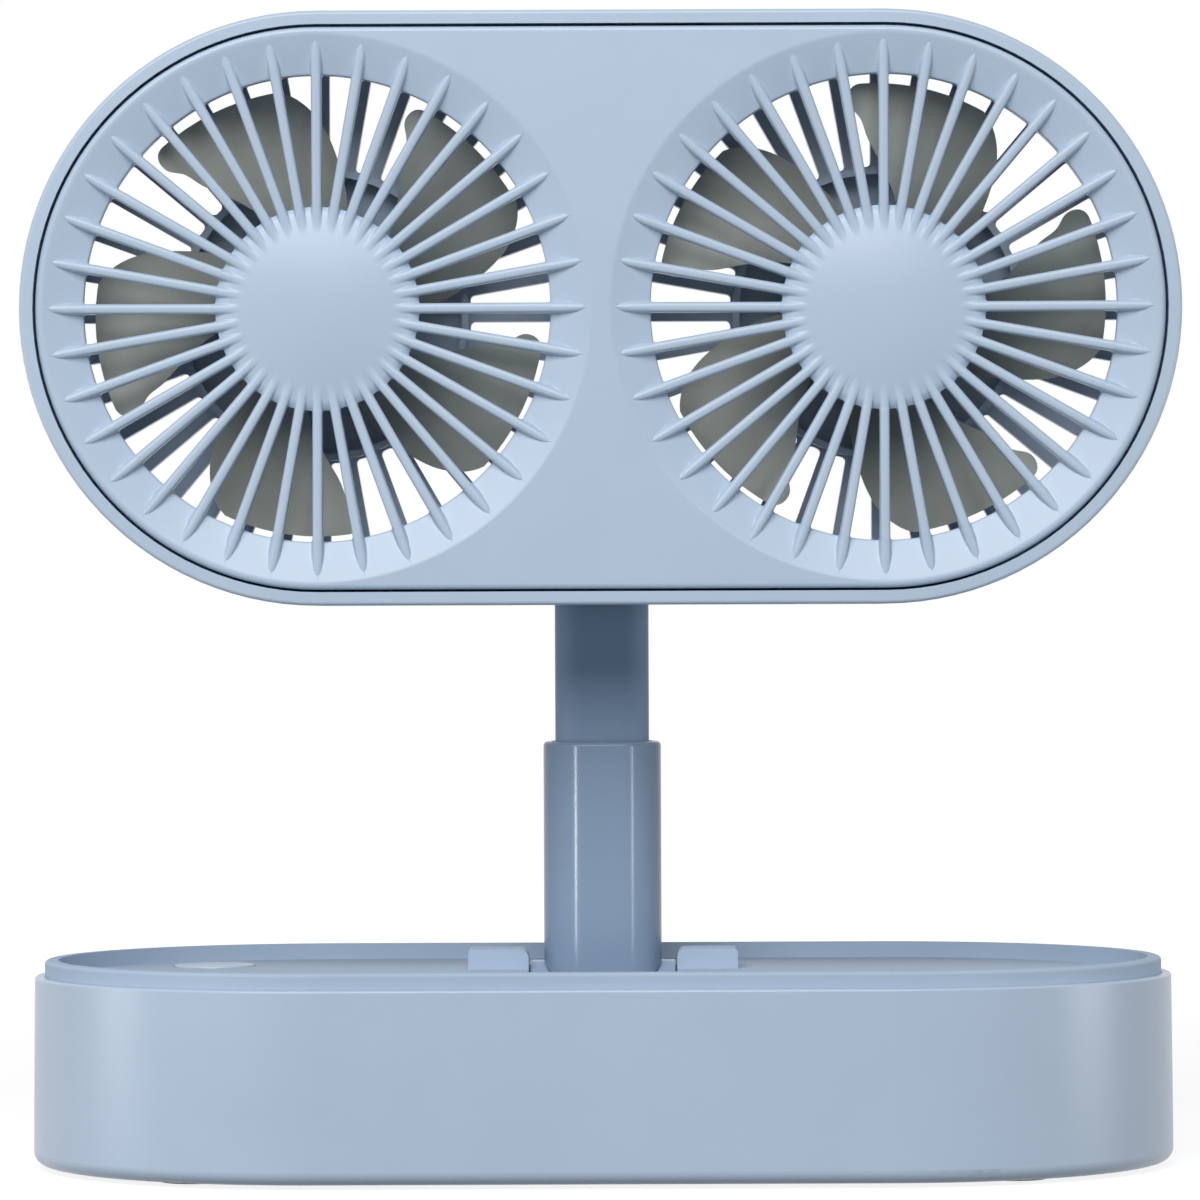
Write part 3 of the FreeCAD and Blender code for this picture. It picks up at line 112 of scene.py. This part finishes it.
# Colours of the case, its deck and the arm
CASE_COLOUR = (0.455, 0.562, 0.698)
# The deck's colour is darker than the case's as painted shade, for the shade that the head and the lips cast on
# the deck
DECK_COLOUR_WITH_PAINTED_SHADE = (0.42, 0.525, 0.66)
# The arm's colour is partly its own somewhat darker tone and, beyond that, painted shade for the head's shadow on
# the arm
ARM_COLOUR_WITH_PAINTED_SHADE = (0.262, 0.361, 0.495)

# Floor: its reach and finish, where the shadow shows, where it is plain white, and the brightness added near
FLOOR_REACH = 6.0
FLOOR_COLOUR = (0.27, 0.275, 0.28, 1.0)
FLOOR_ROUGHNESS = 0.9
SHADOW_RADIUS = 0.15
WHITE_RADIUS = 0.9
NEAR_WHITENESS = 0.86

# Surroundings: the dim light on the object, and the white that is seen
DIM_COLOUR = (0.93, 0.96, 1.0, 1.0)
DIM_STRENGTH = 0.06
WHITE = (1.0, 1.0, 1.0, 1.0)

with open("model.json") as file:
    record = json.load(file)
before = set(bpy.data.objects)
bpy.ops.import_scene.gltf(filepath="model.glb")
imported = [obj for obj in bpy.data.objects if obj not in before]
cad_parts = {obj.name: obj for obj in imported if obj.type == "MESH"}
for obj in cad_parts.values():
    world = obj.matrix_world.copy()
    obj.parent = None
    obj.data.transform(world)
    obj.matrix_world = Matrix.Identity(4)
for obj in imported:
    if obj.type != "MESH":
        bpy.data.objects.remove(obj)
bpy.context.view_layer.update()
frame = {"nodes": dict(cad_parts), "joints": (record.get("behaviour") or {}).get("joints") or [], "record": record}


# Front cover

def spread(first, last, count):
    """Evenly spaced values from first to last."""
    return [first + (last - first) * index / (count - 1) for index in range(count)]


def smooth_max(a, b, blend):
    """The larger of two heights, with a soft change from one to the other."""
    overlap = max(blend - abs(a - b), 0.0) / blend
    return max(a, b) + overlap * overlap * blend / 4


def share_between(value, first, last):
    """How far a value has come from first to last, kept between 0 and 1."""
    return min(max((value - first) / (last - first), 0.0), 1.0)


def plain_height(radius):
    """Height of the cap, the dish and the panel without ribs, counted from the panel's face.

    Along the slots it stays as it is at the nearer end.
    """
    if radius <= CAP_RADIUS:
        ball_radius = (CAP_RADIUS ** 2 + CAP_RISE ** 2) / (2 * CAP_RISE)
        dome = CAP_RISE - CAP_EDGE_SINK - ball_radius + math.sqrt(ball_radius ** 2 - radius ** 2)
        edge = share_between(radius, CAP_RADIUS - CAP_EDGE_ROUND, CAP_RADIUS)
        return dome - CAP_EDGE_DROP * edge ** 2
    if radius < (CAP_RADIUS + SLOT_OUTER_RADIUS) / 2:
        return -CAP_EDGE_SINK - CAP_EDGE_DROP
    reach = max(radius, SLOT_OUTER_RADIUS)
    dish = smooth_max(0.0, DISH_SLOPE * (DISH_EDGE_RADIUS - reach), DISH_EDGE_BLEND)
    edge = share_between(reach, SLOT_OUTER_RADIUS + SLOT_EDGE_ROUND, SLOT_OUTER_RADIUS)
    return -dish - SLOT_EDGE_ROUND * edge ** 2


def rib_half_width(radius):
    """Half the width of a rib, which runs out to a blunt point over the dish."""
    to_tip = share_between(radius, SLOT_OUTER_RADIUS, RIB_TIP_RADIUS)
    taper = (1 - to_tip ** RIB_TIP_BLUNTNESS) ** RIB_TIP_ROUNDNESS
    return max(RIB_HALF_WIDTH * taper, RIB_TIP_HALF_WIDTH)


def strip_half_width(radius):
    """Half the width of the mesh strip along a rib: the rib itself between slots, wider beyond their ends."""
    if radius >= SLOT_OUTER_RADIUS:
        return rib_half_width(radius) * (1 + SLOT_FILLET / RIB_HALF_WIDTH)
    if radius <= CAP_RADIUS:
        return min(rib_half_width(radius) * (1 + CAP_FILLET / RIB_HALF_WIDTH), STRIP_SHARE * radius)
    for from_end, fillet in ((radius - CAP_RADIUS, CAP_FILLET), (SLOT_OUTER_RADIUS - radius, SLOT_FILLET)):
        if from_end < fillet:
            return RIB_HALF_WIDTH + fillet - math.sqrt(fillet ** 2 - (fillet - from_end) ** 2)
    return RIB_HALF_WIDTH


def face_height(radius, from_rib):
    """Height of the grille's face at a distance from a rib's line, counted from the panel's face."""
    along = (radius - RIB_ROOT_RADIUS) / (RIB_TIP_RADIUS - RIB_ROOT_RADIUS)
    crest = -RIB_ROOT_SINK + (RIB_ROOT_SINK - RIB_TIP_SINK) * along
    across = abs(from_rib) / rib_half_width(radius)
    rib = crest - RIB_CROWN * across ** 2 - RIB_FLANK * across ** RIB_FLANK_POWER
    blend = RIB_ROOT_BLEND if radius <= CAP_RADIUS else RIB_TIP_BLEND
    return smooth_max(plain_height(radius), rib, blend)


def column_angles(radius):
    """Angles of one circle's points in order: across each rib, then across the gap to the next one."""
    half = strip_half_width(radius)
    edge = math.asin(half / radius)
    angles = []
    for index in range(RIB_COUNT):
        rib = index * RIB_PITCH
        angles += [rib + math.asin(share * half / radius) for share in RIB_COLUMNS]
        angles += spread(rib + edge, rib + RIB_PITCH - edge, GAP_CELLS + 1)[1:-1]
    return angles


def circle(bm, centre_x, radius, height_at):
    """Ring of points; height_at gives each one's height from its angle."""
    return [bm.verts.new((centre_x + radius * math.cos(angle), radius * math.sin(angle), height_at(angle)))
            for angle in column_angles(radius)]


def from_nearest_rib(radius, angle):
    """Distance of a point from the line of the rib nearest to it."""
    return radius * math.sin(angle - RIB_PITCH * round(angle / RIB_PITCH))


def is_rib_cell(column):
    """Whether the cell after a column lies on a rib and not in a gap."""
    return column % SECTOR_CELLS < RIB_CELLS


def join_rings(bm, inner, outer, keep=None):
    """Faces between two rings of the same count; keep tells which cells are made."""
    count = len(inner)
    for column in range(count):
        if keep is None or keep(column):
            after = (column + 1) % count
            bm.faces.new((inner[column], outer[column], outer[after], inner[after]))


def join_lines(bm, first, second):
    """Faces between two open rows of points of the same count."""
    for index in range(len(first) - 1):
        bm.faces.new((first[index], second[index], second[index + 1], first[index + 1]))


def fill_disc(bm, ring, centre):
    """Triangles from a ring to its middle."""
    for column, point in enumerate(ring):
        bm.faces.new((point, ring[(column + 1) % len(ring)], centre))


def grille_radii():
    """Radii of the circles on the cap, along the slots and over the dish."""
    cap = [radius for run in CAP_RUNS for radius in spread(*run)]
    inner_turn = [CAP_RADIUS + CAP_FILLET * share for share in FILLET_SHARES]
    outer_turn = [SLOT_OUTER_RADIUS - SLOT_FILLET * share for share in reversed(FILLET_SHARES)]
    slots = inner_turn + spread(inner_turn[-1], outer_turn[0], SLOT_CIRCLES)[1:-1] + outer_turn
    slot_edge = [SLOT_OUTER_RADIUS + SLOT_EDGE_ROUND * share for share in SLOT_EDGE_SHARES]
    tips = [radius for run in TIP_RUNS for radius in spread(*run)]
    return cap, slots, slot_edge + tips + list(DISH_EDGE_RADII)


def build_grille(bm, centre_x, front, back):
    """Cap, ribs and dish of one grille. Returns the outer ring of the face and the inner ring of the back."""
    def face_ring(radius):
        def height_at(angle):
            return front + face_height(radius, from_nearest_rib(radius, angle))
        return circle(bm, centre_x, radius, height_at)

    def back_ring(radius):
        return circle(bm, centre_x, radius, lambda angle: back)

    cap, slots, dish = grille_radii()
    cap_rings = [face_ring(radius) for radius in cap]
    slot_rings = [face_ring(radius) for radius in slots]
    slot_backs = [back_ring(radius) for radius in slots]
    dish_rings = [face_ring(radius) for radius in dish]
    fill_disc(bm, cap_rings[0], bm.verts.new((centre_x, 0.0, front + plain_height(0.0))))
    fill_disc(bm, slot_backs[0], bm.verts.new((centre_x, 0.0, back)))
    for plain_rings in (cap_rings + [slot_rings[0]], [slot_rings[-1]] + dish_rings):
        for inner, outer in zip(plain_rings, plain_rings[1:]):
            join_rings(bm, inner, outer)
    for row in range(len(slots) - 1):
        join_rings(bm, slot_rings[row], slot_rings[row + 1], is_rib_cell)
        join_rings(bm, slot_backs[row], slot_backs[row + 1], is_rib_cell)
        for rib in range(RIB_COUNT):
            for column in (rib * SECTOR_CELLS, rib * SECTOR_CELLS + RIB_CELLS):
                bm.faces.new((slot_rings[row][column], slot_rings[row + 1][column],
                              slot_backs[row + 1][column], slot_backs[row][column]))
    for row in (0, -1):
        join_rings(bm, slot_rings[row], slot_backs[row], lambda column: not is_rib_cell(column))
    loose = [vert for ring in slot_rings + slot_backs for vert in ring if not vert.link_faces]
    bmesh.ops.delete(bm, geom=loose, context="VERTS")
    return dish_rings[-1], slot_backs[-1]


def split_ring(ring):
    """The stretch of a ring that faces the middle of the cover, from bottom to top, and the outer stretch."""
    quarter = len(ring) // 4
    shift = RIB_COLUMNS.index(0.0)
    top = quarter + shift
    bottom = 3 * quarter + shift
    return ring[bottom:] + ring[:top + 1], ring[top:bottom + 1]


def panel_to_edge(bm, ring, edge):
    """Flat faces from one grille's ring to the cover's middle line and to its edge.

    The edge is a line of points that starts and ends on the middle line.
    """
    facing_middle, facing_out = split_ring(ring)
    middle = [bm.verts.new((0.0, vert.co.y, vert.co.z)) for vert in facing_middle]
    join_lines(bm, facing_middle, middle)
    join_lines(bm, facing_out, edge[1:-1])
    bm.faces.new((facing_out[0], middle[-1], edge[0], edge[1]))
    bm.faces.new((facing_out[-1], edge[-2], edge[-1], middle[0]))


def edge_line(bm, centre_x, radius, height, angles):
    """Half of the cover's outline from the middle line, round one end and back to the middle line."""
    line = [bm.verts.new((0.0, radius, height))]
    for angle in angles:
        line.append(bm.verts.new((centre_x + radius * math.cos(angle), radius * math.sin(angle), height)))
    line.append(bm.verts.new((0.0, -radius, height)))
    return line


def add_post(bm, x, y, low, high):
    """Screw post behind the cover, bored from its rear end, as a turned shell."""
    bore_end = low + POST_BORE_DEPTH
    profile = [(POST_BORE_RADIUS, bore_end), (POST_BORE_RADIUS, low), (POST_RADIUS, low), (POST_RADIUS, high)]
    angles = [2 * math.pi * step / POST_STEPS for step in range(POST_STEPS)]
    rings = []
    for radius, height in profile:
        rings.append([bm.verts.new((x + radius * math.cos(angle), y + radius * math.sin(angle), height))
                      for angle in angles])
    for first, second in zip(rings, rings[1:]):
        join_rings(bm, first, second)
    fill_disc(bm, rings[0], bm.verts.new((x, y, bore_end)))
    fill_disc(bm, rings[-1], bm.verts.new((x, y, high)))


def head_axes():
    """Place of the head's own axes in the frame, and the fans' distance from the middle in millimetres.

    Both come from the two fan joints, which lie in the plane of the head's hinge.
    """
    joints = {joint["name"]: joint for joint in frame["joints"]}
    left = Vector(joints["left_fan_spin"]["pos_m"])
    right = Vector(joints["right_fan_spin"]["pos_m"])
    across = (right - left).normalized()
    outward = Vector(joints["left_fan_spin"]["axis"]).normalized()
    upward = outward.cross(across)
    axes = Matrix((across, upward, outward)).transposed().to_4x4()
    return Matrix.Translation((left + right) / 2) @ axes, (right - left).length / 2 / MILLIMETRE


def build_half_cover(bm, centre_x, end_radius, front):
    """Plate of the cover on one side of the middle line: grille, panel, rounded edge and the ring behind."""
    back = front - COVER_THICKNESS
    ring_back = front - COVER_RING_DEPTH
    face_edge, back_edge = build_grille(bm, centre_x, front, ring_back)
    out_angles = [math.atan2(vert.co.y, vert.co.x - centre_x) for vert in split_ring(face_edge)[1]]
    lines = []
    for turn in spread(0.0, math.pi / 2, ROUND_STEPS):
        inset = COVER_ROUND * (1 - math.sin(turn))
        drop = COVER_ROUND * (1 - math.cos(turn))
        lines.append(edge_line(bm, centre_x, end_radius - inset, front - drop, out_angles))
    lines.append(edge_line(bm, centre_x, end_radius, back, out_angles))
    for first, second in zip(lines, lines[1:]):
        join_lines(bm, first, second)
    panel_to_edge(bm, face_edge, lines[0])
    ring_low = circle(bm, centre_x, DISH_RADIUS, lambda angle: ring_back)
    ring_high = circle(bm, centre_x, DISH_RADIUS, lambda angle: back)
    join_rings(bm, back_edge, ring_low)
    join_rings(bm, ring_low, ring_high)
    panel_to_edge(bm, ring_high, lines[-1])


def shade_smooth(bm):
    """Smooth shading, with the cover's sharp edges kept."""
    bmesh.ops.recalc_face_normals(bm, faces=bm.faces)
    for face in bm.faces:
        face.smooth = True
    for edge in bm.edges:
        edge.smooth = edge.calc_face_angle(0.0) < SHARP_ANGLE


def build_cover():
    """The front cover in one mesh: half of its plate, mirrored, and the four screw posts behind it."""
    place, fan_x = head_axes()
    to_head = place.inverted()
    solid = frame["nodes"]["front_cover"]
    corners = [to_head @ vert.co / MILLIMETRE for vert in solid.data.vertices]
    front = max(corner.z for corner in corners)
    post_end = min(corner.z for corner in corners)
    end_radius = max(corner.y for corner in corners)
    bm = bmesh.new()
    build_half_cover(bm, -fan_x, end_radius, front)
    half = bm.verts[:] + bm.edges[:] + bm.faces[:]
    bmesh.ops.mirror(bm, geom=half, axis="X", merge_dist=MERGE_DISTANCE)
    for x in (-POST_X, POST_X):
        for y in (-POST_Y, POST_Y):
            add_post(bm, x, y, post_end, front - COVER_THICKNESS)
    shade_smooth(bm)
    bmesh.ops.transform(bm, matrix=place @ Matrix.Scale(MILLIMETRE, 4), verts=bm.verts)
    mesh = bpy.data.meshes.new("grille_cover")
    bm.to_mesh(mesh)
    bm.free()
    cover = bpy.data.objects.new("grille_cover", mesh)
    bpy.context.collection.objects.link(cover)
    normals = cover.modifiers.new("flat_faces", "WEIGHTED_NORMAL")
    normals.keep_sharp = True
    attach(cover, "head")
    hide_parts("front_cover")
    return cover


# Finishes

def new_material(name):
    """Material with its nodes and its main shader."""
    material = bpy.data.materials.new(name)
    material.use_nodes = True
    tree = material.node_tree
    return material, tree, tree.nodes["Principled BSDF"]


def object_noise(tree, scale, detail, stretch=UNSTRETCHED):
    """Noise in the object's own metres, stretched along its axes."""
    coordinates = tree.nodes.new("ShaderNodeTexCoord")
    mapping = tree.nodes.new("ShaderNodeMapping")
    mapping.inputs["Scale"].default_value = stretch
    noise = tree.nodes.new("ShaderNodeTexNoise")
    noise.inputs["Scale"].default_value = scale
    noise.inputs["Detail"].default_value = detail
    tree.links.new(coordinates.outputs["Object"], mapping.inputs["Vector"])
    tree.links.new(mapping.outputs["Vector"], noise.inputs["Vector"])
    return noise.outputs["Fac"]


def vary_colour(tree, shader, noise, dark, light):
    """Base colour that drifts between two tones."""
    ramp = tree.nodes.new("ShaderNodeValToRGB")
    ramp.color_ramp.elements[0].position = NOISE_LOW
    ramp.color_ramp.elements[0].color = (*dark, 1.0)
    ramp.color_ramp.elements[1].position = NOISE_HIGH
    ramp.color_ramp.elements[1].color = (*light, 1.0)
    tree.links.new(noise, ramp.inputs["Fac"])
    tree.links.new(ramp.outputs["Color"], shader.inputs["Base Color"])


def vary_roughness(tree, shader, noise, low, high):
    """Roughness that drifts between two values."""
    spread_out = tree.nodes.new("ShaderNodeMapRange")
    spread_out.inputs["From Min"].default_value = NOISE_LOW
    spread_out.inputs["From Max"].default_value = NOISE_HIGH
    spread_out.inputs["To Min"].default_value = low
    spread_out.inputs["To Max"].default_value = high
    tree.links.new(noise, spread_out.inputs["Value"])
    tree.links.new(spread_out.outputs["Result"], shader.inputs["Roughness"])


def add_bump(tree, shader, noise, depth, strength):
    """Fine relief of the surface; the depth is in metres."""
    bump = tree.nodes.new("ShaderNodeBump")
    bump.inputs["Strength"].default_value = strength
    bump.inputs["Distance"].default_value = depth
    tree.links.new(noise, bump.inputs["Height"])
    tree.links.new(bump.outputs["Normal"], shader.inputs["Normal"])


def toned(colour, factor):
    """A lighter or darker tone of a colour."""
    return tuple(channel * factor for channel in colour)


def moulded_plastic(name, colour, roughness, shine=0.5, mottle=0.02, uneven=0.01, grain=2600.0):
    """Satin moulding: faint flow mottling, uneven gloss and a fine spark-eroded grain."""
    material, tree, shader = new_material(name)
    flow = object_noise(tree, scale=45.0, detail=3.0)
    gloss = object_noise(tree, scale=320.0, detail=2.0)
    pits = object_noise(tree, scale=grain, detail=2.0)
    vary_colour(tree, shader, flow, dark=toned(colour, 1 - mottle), light=toned(colour, 1 + mottle))
    vary_roughness(tree, shader, gloss, low=roughness - uneven, high=roughness + uneven)
    add_bump(tree, shader, pits, depth=0.000008, strength=0.25)
    shader.inputs["Specular IOR Level"].default_value = shine
    return material


def milky_plastic(name, colour):
    """Smoky see-through moulding of the blades, cloudy inside."""
    material, tree, shader = new_material(name)
    cloud = object_noise(tree, scale=70.0, detail=4.0)
    gloss = object_noise(tree, scale=260.0, detail=3.0)
    pits = object_noise(tree, scale=1900.0, detail=2.0)
    vary_colour(tree, shader, cloud, dark=toned(colour, 0.86), light=toned(colour, 1.14))
    vary_roughness(tree, shader, gloss, low=0.34, high=0.44)
    add_bump(tree, shader, pits, depth=0.00002, strength=0.2)
    shader.inputs["Transmission Weight"].default_value = 0.18
    shader.inputs["IOR"].default_value = 1.45
    return material


def drawn_metal(name, colour, roughness, stretch):
    """Bare metal with fine drawing lines along one axis, or with an even grain where nothing is stretched."""
    material, tree, shader = new_material(name)
    shader.inputs["Metallic"].default_value = 1.0
    lines = object_noise(tree, scale=900.0, detail=3.0, stretch=stretch)
    vary_colour(tree, shader, lines, dark=toned(colour, 0.92), light=toned(colour, 1.06))
    vary_roughness(tree, shader, lines, low=roughness - 0.06, high=roughness + 0.08)
    add_bump(tree, shader, lines, depth=0.00001, strength=0.2)
    return material


def soft_rubber(name, colour):
    """Matt rubber with a dusty grain."""
    material, tree, shader = new_material(name)
    dust = object_noise(tree, scale=120.0, detail=4.0)
    gloss = object_noise(tree, scale=500.0, detail=3.0)
    pits = object_noise(tree, scale=1800.0, detail=3.0)
    vary_colour(tree, shader, dust, dark=toned(colour, 0.9), light=toned(colour, 1.1))
    vary_roughness(tree, shader, gloss, low=0.75, high=0.9)
    add_bump(tree, shader, pits, depth=0.00004, strength=0.4)
    return material


def make_finishes():
    """One material for each slot of the record, and duller ones for the deck and the upper tube; the deck's and
    the arm's colours are darkened with painted shade.
    """
    return {
        "case_plastic": moulded_plastic("case_plastic_satin", CASE_COLOUR, roughness=0.30, shine=0.4),
        # Duller deck finish, its colour darkened by painted shade
        "dull_plastic_painted_shade": moulded_plastic("case_plastic_dull_painted_shade", DECK_COLOUR_WITH_PAINTED_SHADE, roughness=0.55, shine=0.12),
        # Both arm finishes take the arm colour with its painted shade
        "arm_plastic": moulded_plastic("arm_plastic_satin_painted_shade", ARM_COLOUR_WITH_PAINTED_SHADE, roughness=0.18, shine=0.3),
        "dull_arm_plastic_painted_shade": moulded_plastic("arm_plastic_dull_painted_shade", ARM_COLOUR_WITH_PAINTED_SHADE, roughness=0.50, shine=0.12),
        "blade_plastic": milky_plastic("blade_plastic_milky", (0.47, 0.50, 0.455)),
        "sleeve_plastic": moulded_plastic("sleeve_plastic_natural", (0.78, 0.78, 0.75), roughness=0.35),
        "foot_rubber": soft_rubber("foot_rubber_grey", (0.30, 0.32, 0.35)),
        "steel": drawn_metal("zinc_plated_steel", (0.62, 0.62, 0.64), roughness=0.30, stretch=ALONG_X),
        "motor_steel": drawn_metal("drawn_motor_can", (0.55, 0.55, 0.57), roughness=0.34, stretch=ALONG_Z),
        "bronze": drawn_metal("sintered_bronze", (0.62, 0.45, 0.24), roughness=0.45, stretch=UNSTRETCHED),
        "cell_wrap": moulded_plastic("cell_shrink_wrap", (0.20, 0.45, 0.35), roughness=0.28, grain=900.0),
        "board": moulded_plastic("solder_mask", (0.05, 0.25, 0.12), roughness=0.32, mottle=0.08,
                                 grain=1500.0),
        "switch_plastic": moulded_plastic("switch_black", (0.05, 0.05, 0.05), roughness=0.38),
        "lead_sleeve": moulded_plastic("lead_insulation", (0.45, 0.05, 0.04), roughness=0.42),
    }


def dress(cover):
    """Puts a finish on every solid of the frame and on the cover."""
    finishes = make_finishes()
    for subpart in frame["record"]["subparts"]:
        node = frame["nodes"][subpart["node"]]
        finish = finishes[DULLED_AND_SHADED_NODES.get(subpart["node"], subpart["material_slot"])]
        for slot in node.material_slots:
            slot.material = finish
    cover.data.materials.append(finishes["case_plastic"])


# Studio

def add_panel_light(name, place, aim, size, radiance):
    """Rectangular soft light of a given brightness, aimed at a point."""
    light = bpy.data.lights.new(name, "AREA")
    light.shape = "RECTANGLE"
    light.size, light.size_y = size
    light.energy = radiance * math.pi * size[0] * size[1]
    holder = bpy.data.objects.new(name, light)
    holder.location = place
    holder.rotation_euler = (Vector(aim) - Vector(place)).to_track_quat("-Z", "Y").to_euler()
    holder.visible_camera = False
    bpy.context.collection.objects.link(holder)
    return holder


def link_light(holder, node, state):
    """Lets a light reach one solid alone (INCLUDE), or everything but that one (EXCLUDE)."""
    receivers = bpy.data.collections.new(holder.name + "_receivers")
    receivers.objects.link(node)
    receivers.collection_objects[0].light_linking.link_state = state
    holder.light_linking.receiver_collection = receivers


def add_lights():
    """A large key light in front, boxes beside the base, and strips that shine on the lower tube alone."""
    middle = (0.0, 0.0, 0.11)
    arm = (0.0, 0.008, 0.048)
    left_end = (-0.09, -0.04, 0.03)
    right_end = (0.09, -0.04, 0.03)
    key_size = (1.2, 1.0)
    box_size = (0.12, 0.12)
    strip_size = (0.024, 0.046)
    add_panel_light("key", (-0.22, -1.12, 0.95), middle, key_size, radiance=5.65)
    left_box = add_panel_light("left_box", (-0.40, -0.063, 0.065), left_end, box_size, radiance=5.6)
    right_box = add_panel_light("right_box", (0.40, -0.055, 0.065), right_end, box_size, radiance=5.6)
    left_strip = add_panel_light("left_strip", (-0.21, -0.47, 0.043), arm, strip_size, radiance=84.0)
    right_strip = add_panel_light("right_strip", (0.31, -0.47, 0.043), arm, strip_size, radiance=44.0)
    tube = frame["nodes"]["lower_tube"]
    for strip in (left_strip, right_strip):
        strip.visible_diffuse = False
        link_light(strip, tube, "INCLUDE")
    for side_box in (left_box, right_box):
        link_light(side_box, tube, "EXCLUDE")


def seen_directly(tree):
    """One for what the camera, reflections and clear plastic see, and nothing for light on the object."""
    path = tree.nodes.new("ShaderNodeLightPath")
    total = path.outputs["Is Camera Ray"]
    for ray in ("Is Glossy Ray", "Is Transmission Ray"):
        either = tree.nodes.new("ShaderNodeMath")
        either.operation = "MAXIMUM"
        tree.links.new(total, either.inputs[0])
        tree.links.new(path.outputs[ray], either.inputs[1])
        total = either.outputs[0]
    return total


def add_world():
    """Dim soft surroundings that the camera, reflections and clear plastic see as white."""
    world = bpy.data.worlds.new("studio")
    world.use_nodes = True
    bpy.context.scene.world = world
    tree = world.node_tree
    dim = tree.nodes["Background"]
    dim.inputs["Color"].default_value = DIM_COLOUR
    dim.inputs["Strength"].default_value = DIM_STRENGTH
    white = tree.nodes.new("ShaderNodeBackground")
    white.inputs["Color"].default_value = WHITE
    white.inputs["Strength"].default_value = 1.0
    mix = tree.nodes.new("ShaderNodeMixShader")
    tree.links.new(seen_directly(tree), mix.inputs["Fac"])
    tree.links.new(dim.outputs["Background"], mix.inputs[1])
    tree.links.new(white.outputs["Background"], mix.inputs[2])
    tree.links.new(mix.outputs["Shader"], tree.nodes["World Output"].inputs["Surface"])


def floor_whiteness(tree):
    """Brightness added to the seen floor: less by the object, where its shadow shows, and white far off."""
    geometry = tree.nodes.new("ShaderNodeNewGeometry")
    distance = tree.nodes.new("ShaderNodeVectorMath")
    distance.operation = "LENGTH"
    tree.links.new(geometry.outputs["Position"], distance.inputs[0])
    fade = tree.nodes.new("ShaderNodeMapRange")
    fade.interpolation_type = "SMOOTHSTEP"
    fade.inputs["From Min"].default_value = SHADOW_RADIUS
    fade.inputs["From Max"].default_value = WHITE_RADIUS
    fade.inputs["To Min"].default_value = NEAR_WHITENESS
    fade.inputs["To Max"].default_value = 1.0
    tree.links.new(distance.outputs["Value"], fade.inputs["Value"])
    strength = tree.nodes.new("ShaderNodeMath")
    strength.operation = "MULTIPLY"
    tree.links.new(fade.outputs["Result"], strength.inputs[0])
    tree.links.new(seen_directly(tree), strength.inputs[1])
    return strength.outputs["Value"]


def add_floor():
    """Plain pale floor that keeps the object's shadow."""
    bm = bmesh.new()
    bmesh.ops.create_grid(bm, x_segments=1, y_segments=1, size=FLOOR_REACH)
    mesh = bpy.data.meshes.new("floor")
    bm.to_mesh(mesh)
    bm.free()
    floor = bpy.data.objects.new("floor", mesh)
    bpy.context.collection.objects.link(floor)
    material, tree, shader = new_material("pale_floor")
    shader.inputs["Base Color"].default_value = FLOOR_COLOUR
    shader.inputs["Roughness"].default_value = FLOOR_ROUGHNESS
    shader.inputs["Specular IOR Level"].default_value = 0.0
    white = tree.nodes.new("ShaderNodeEmission")
    tree.links.new(floor_whiteness(tree), white.inputs["Strength"])
    total = tree.nodes.new("ShaderNodeAddShader")
    tree.links.new(shader.outputs["BSDF"], total.inputs[0])
    tree.links.new(white.outputs["Emission"], total.inputs[1])
    tree.links.new(total.outputs["Shader"], tree.nodes["Material Output"].inputs["Surface"])
    mesh.materials.append(material)


def add_camera():
    """Camera level with the fan's middle, straight in front."""
    camera = bpy.data.cameras.new("front_camera")
    camera.lens = CAMERA_LENS
    camera.sensor_width = SENSOR_WIDTH
    holder = bpy.data.objects.new("front_camera", camera)
    level = Matrix.Rotation(math.pi / 2 + CAMERA_PITCH, 4, "X")
    holder.matrix_world = Matrix.Translation(CAMERA_PLACE) @ level @ Matrix.Rotation(CAMERA_ROLL, 4, "Z")
    bpy.context.collection.objects.link(holder)
    bpy.context.scene.camera = holder


dress(build_cover())
add_lights()
add_world()
add_floor()
add_camera()
bpy.context.scene.view_settings.view_transform = "Standard"
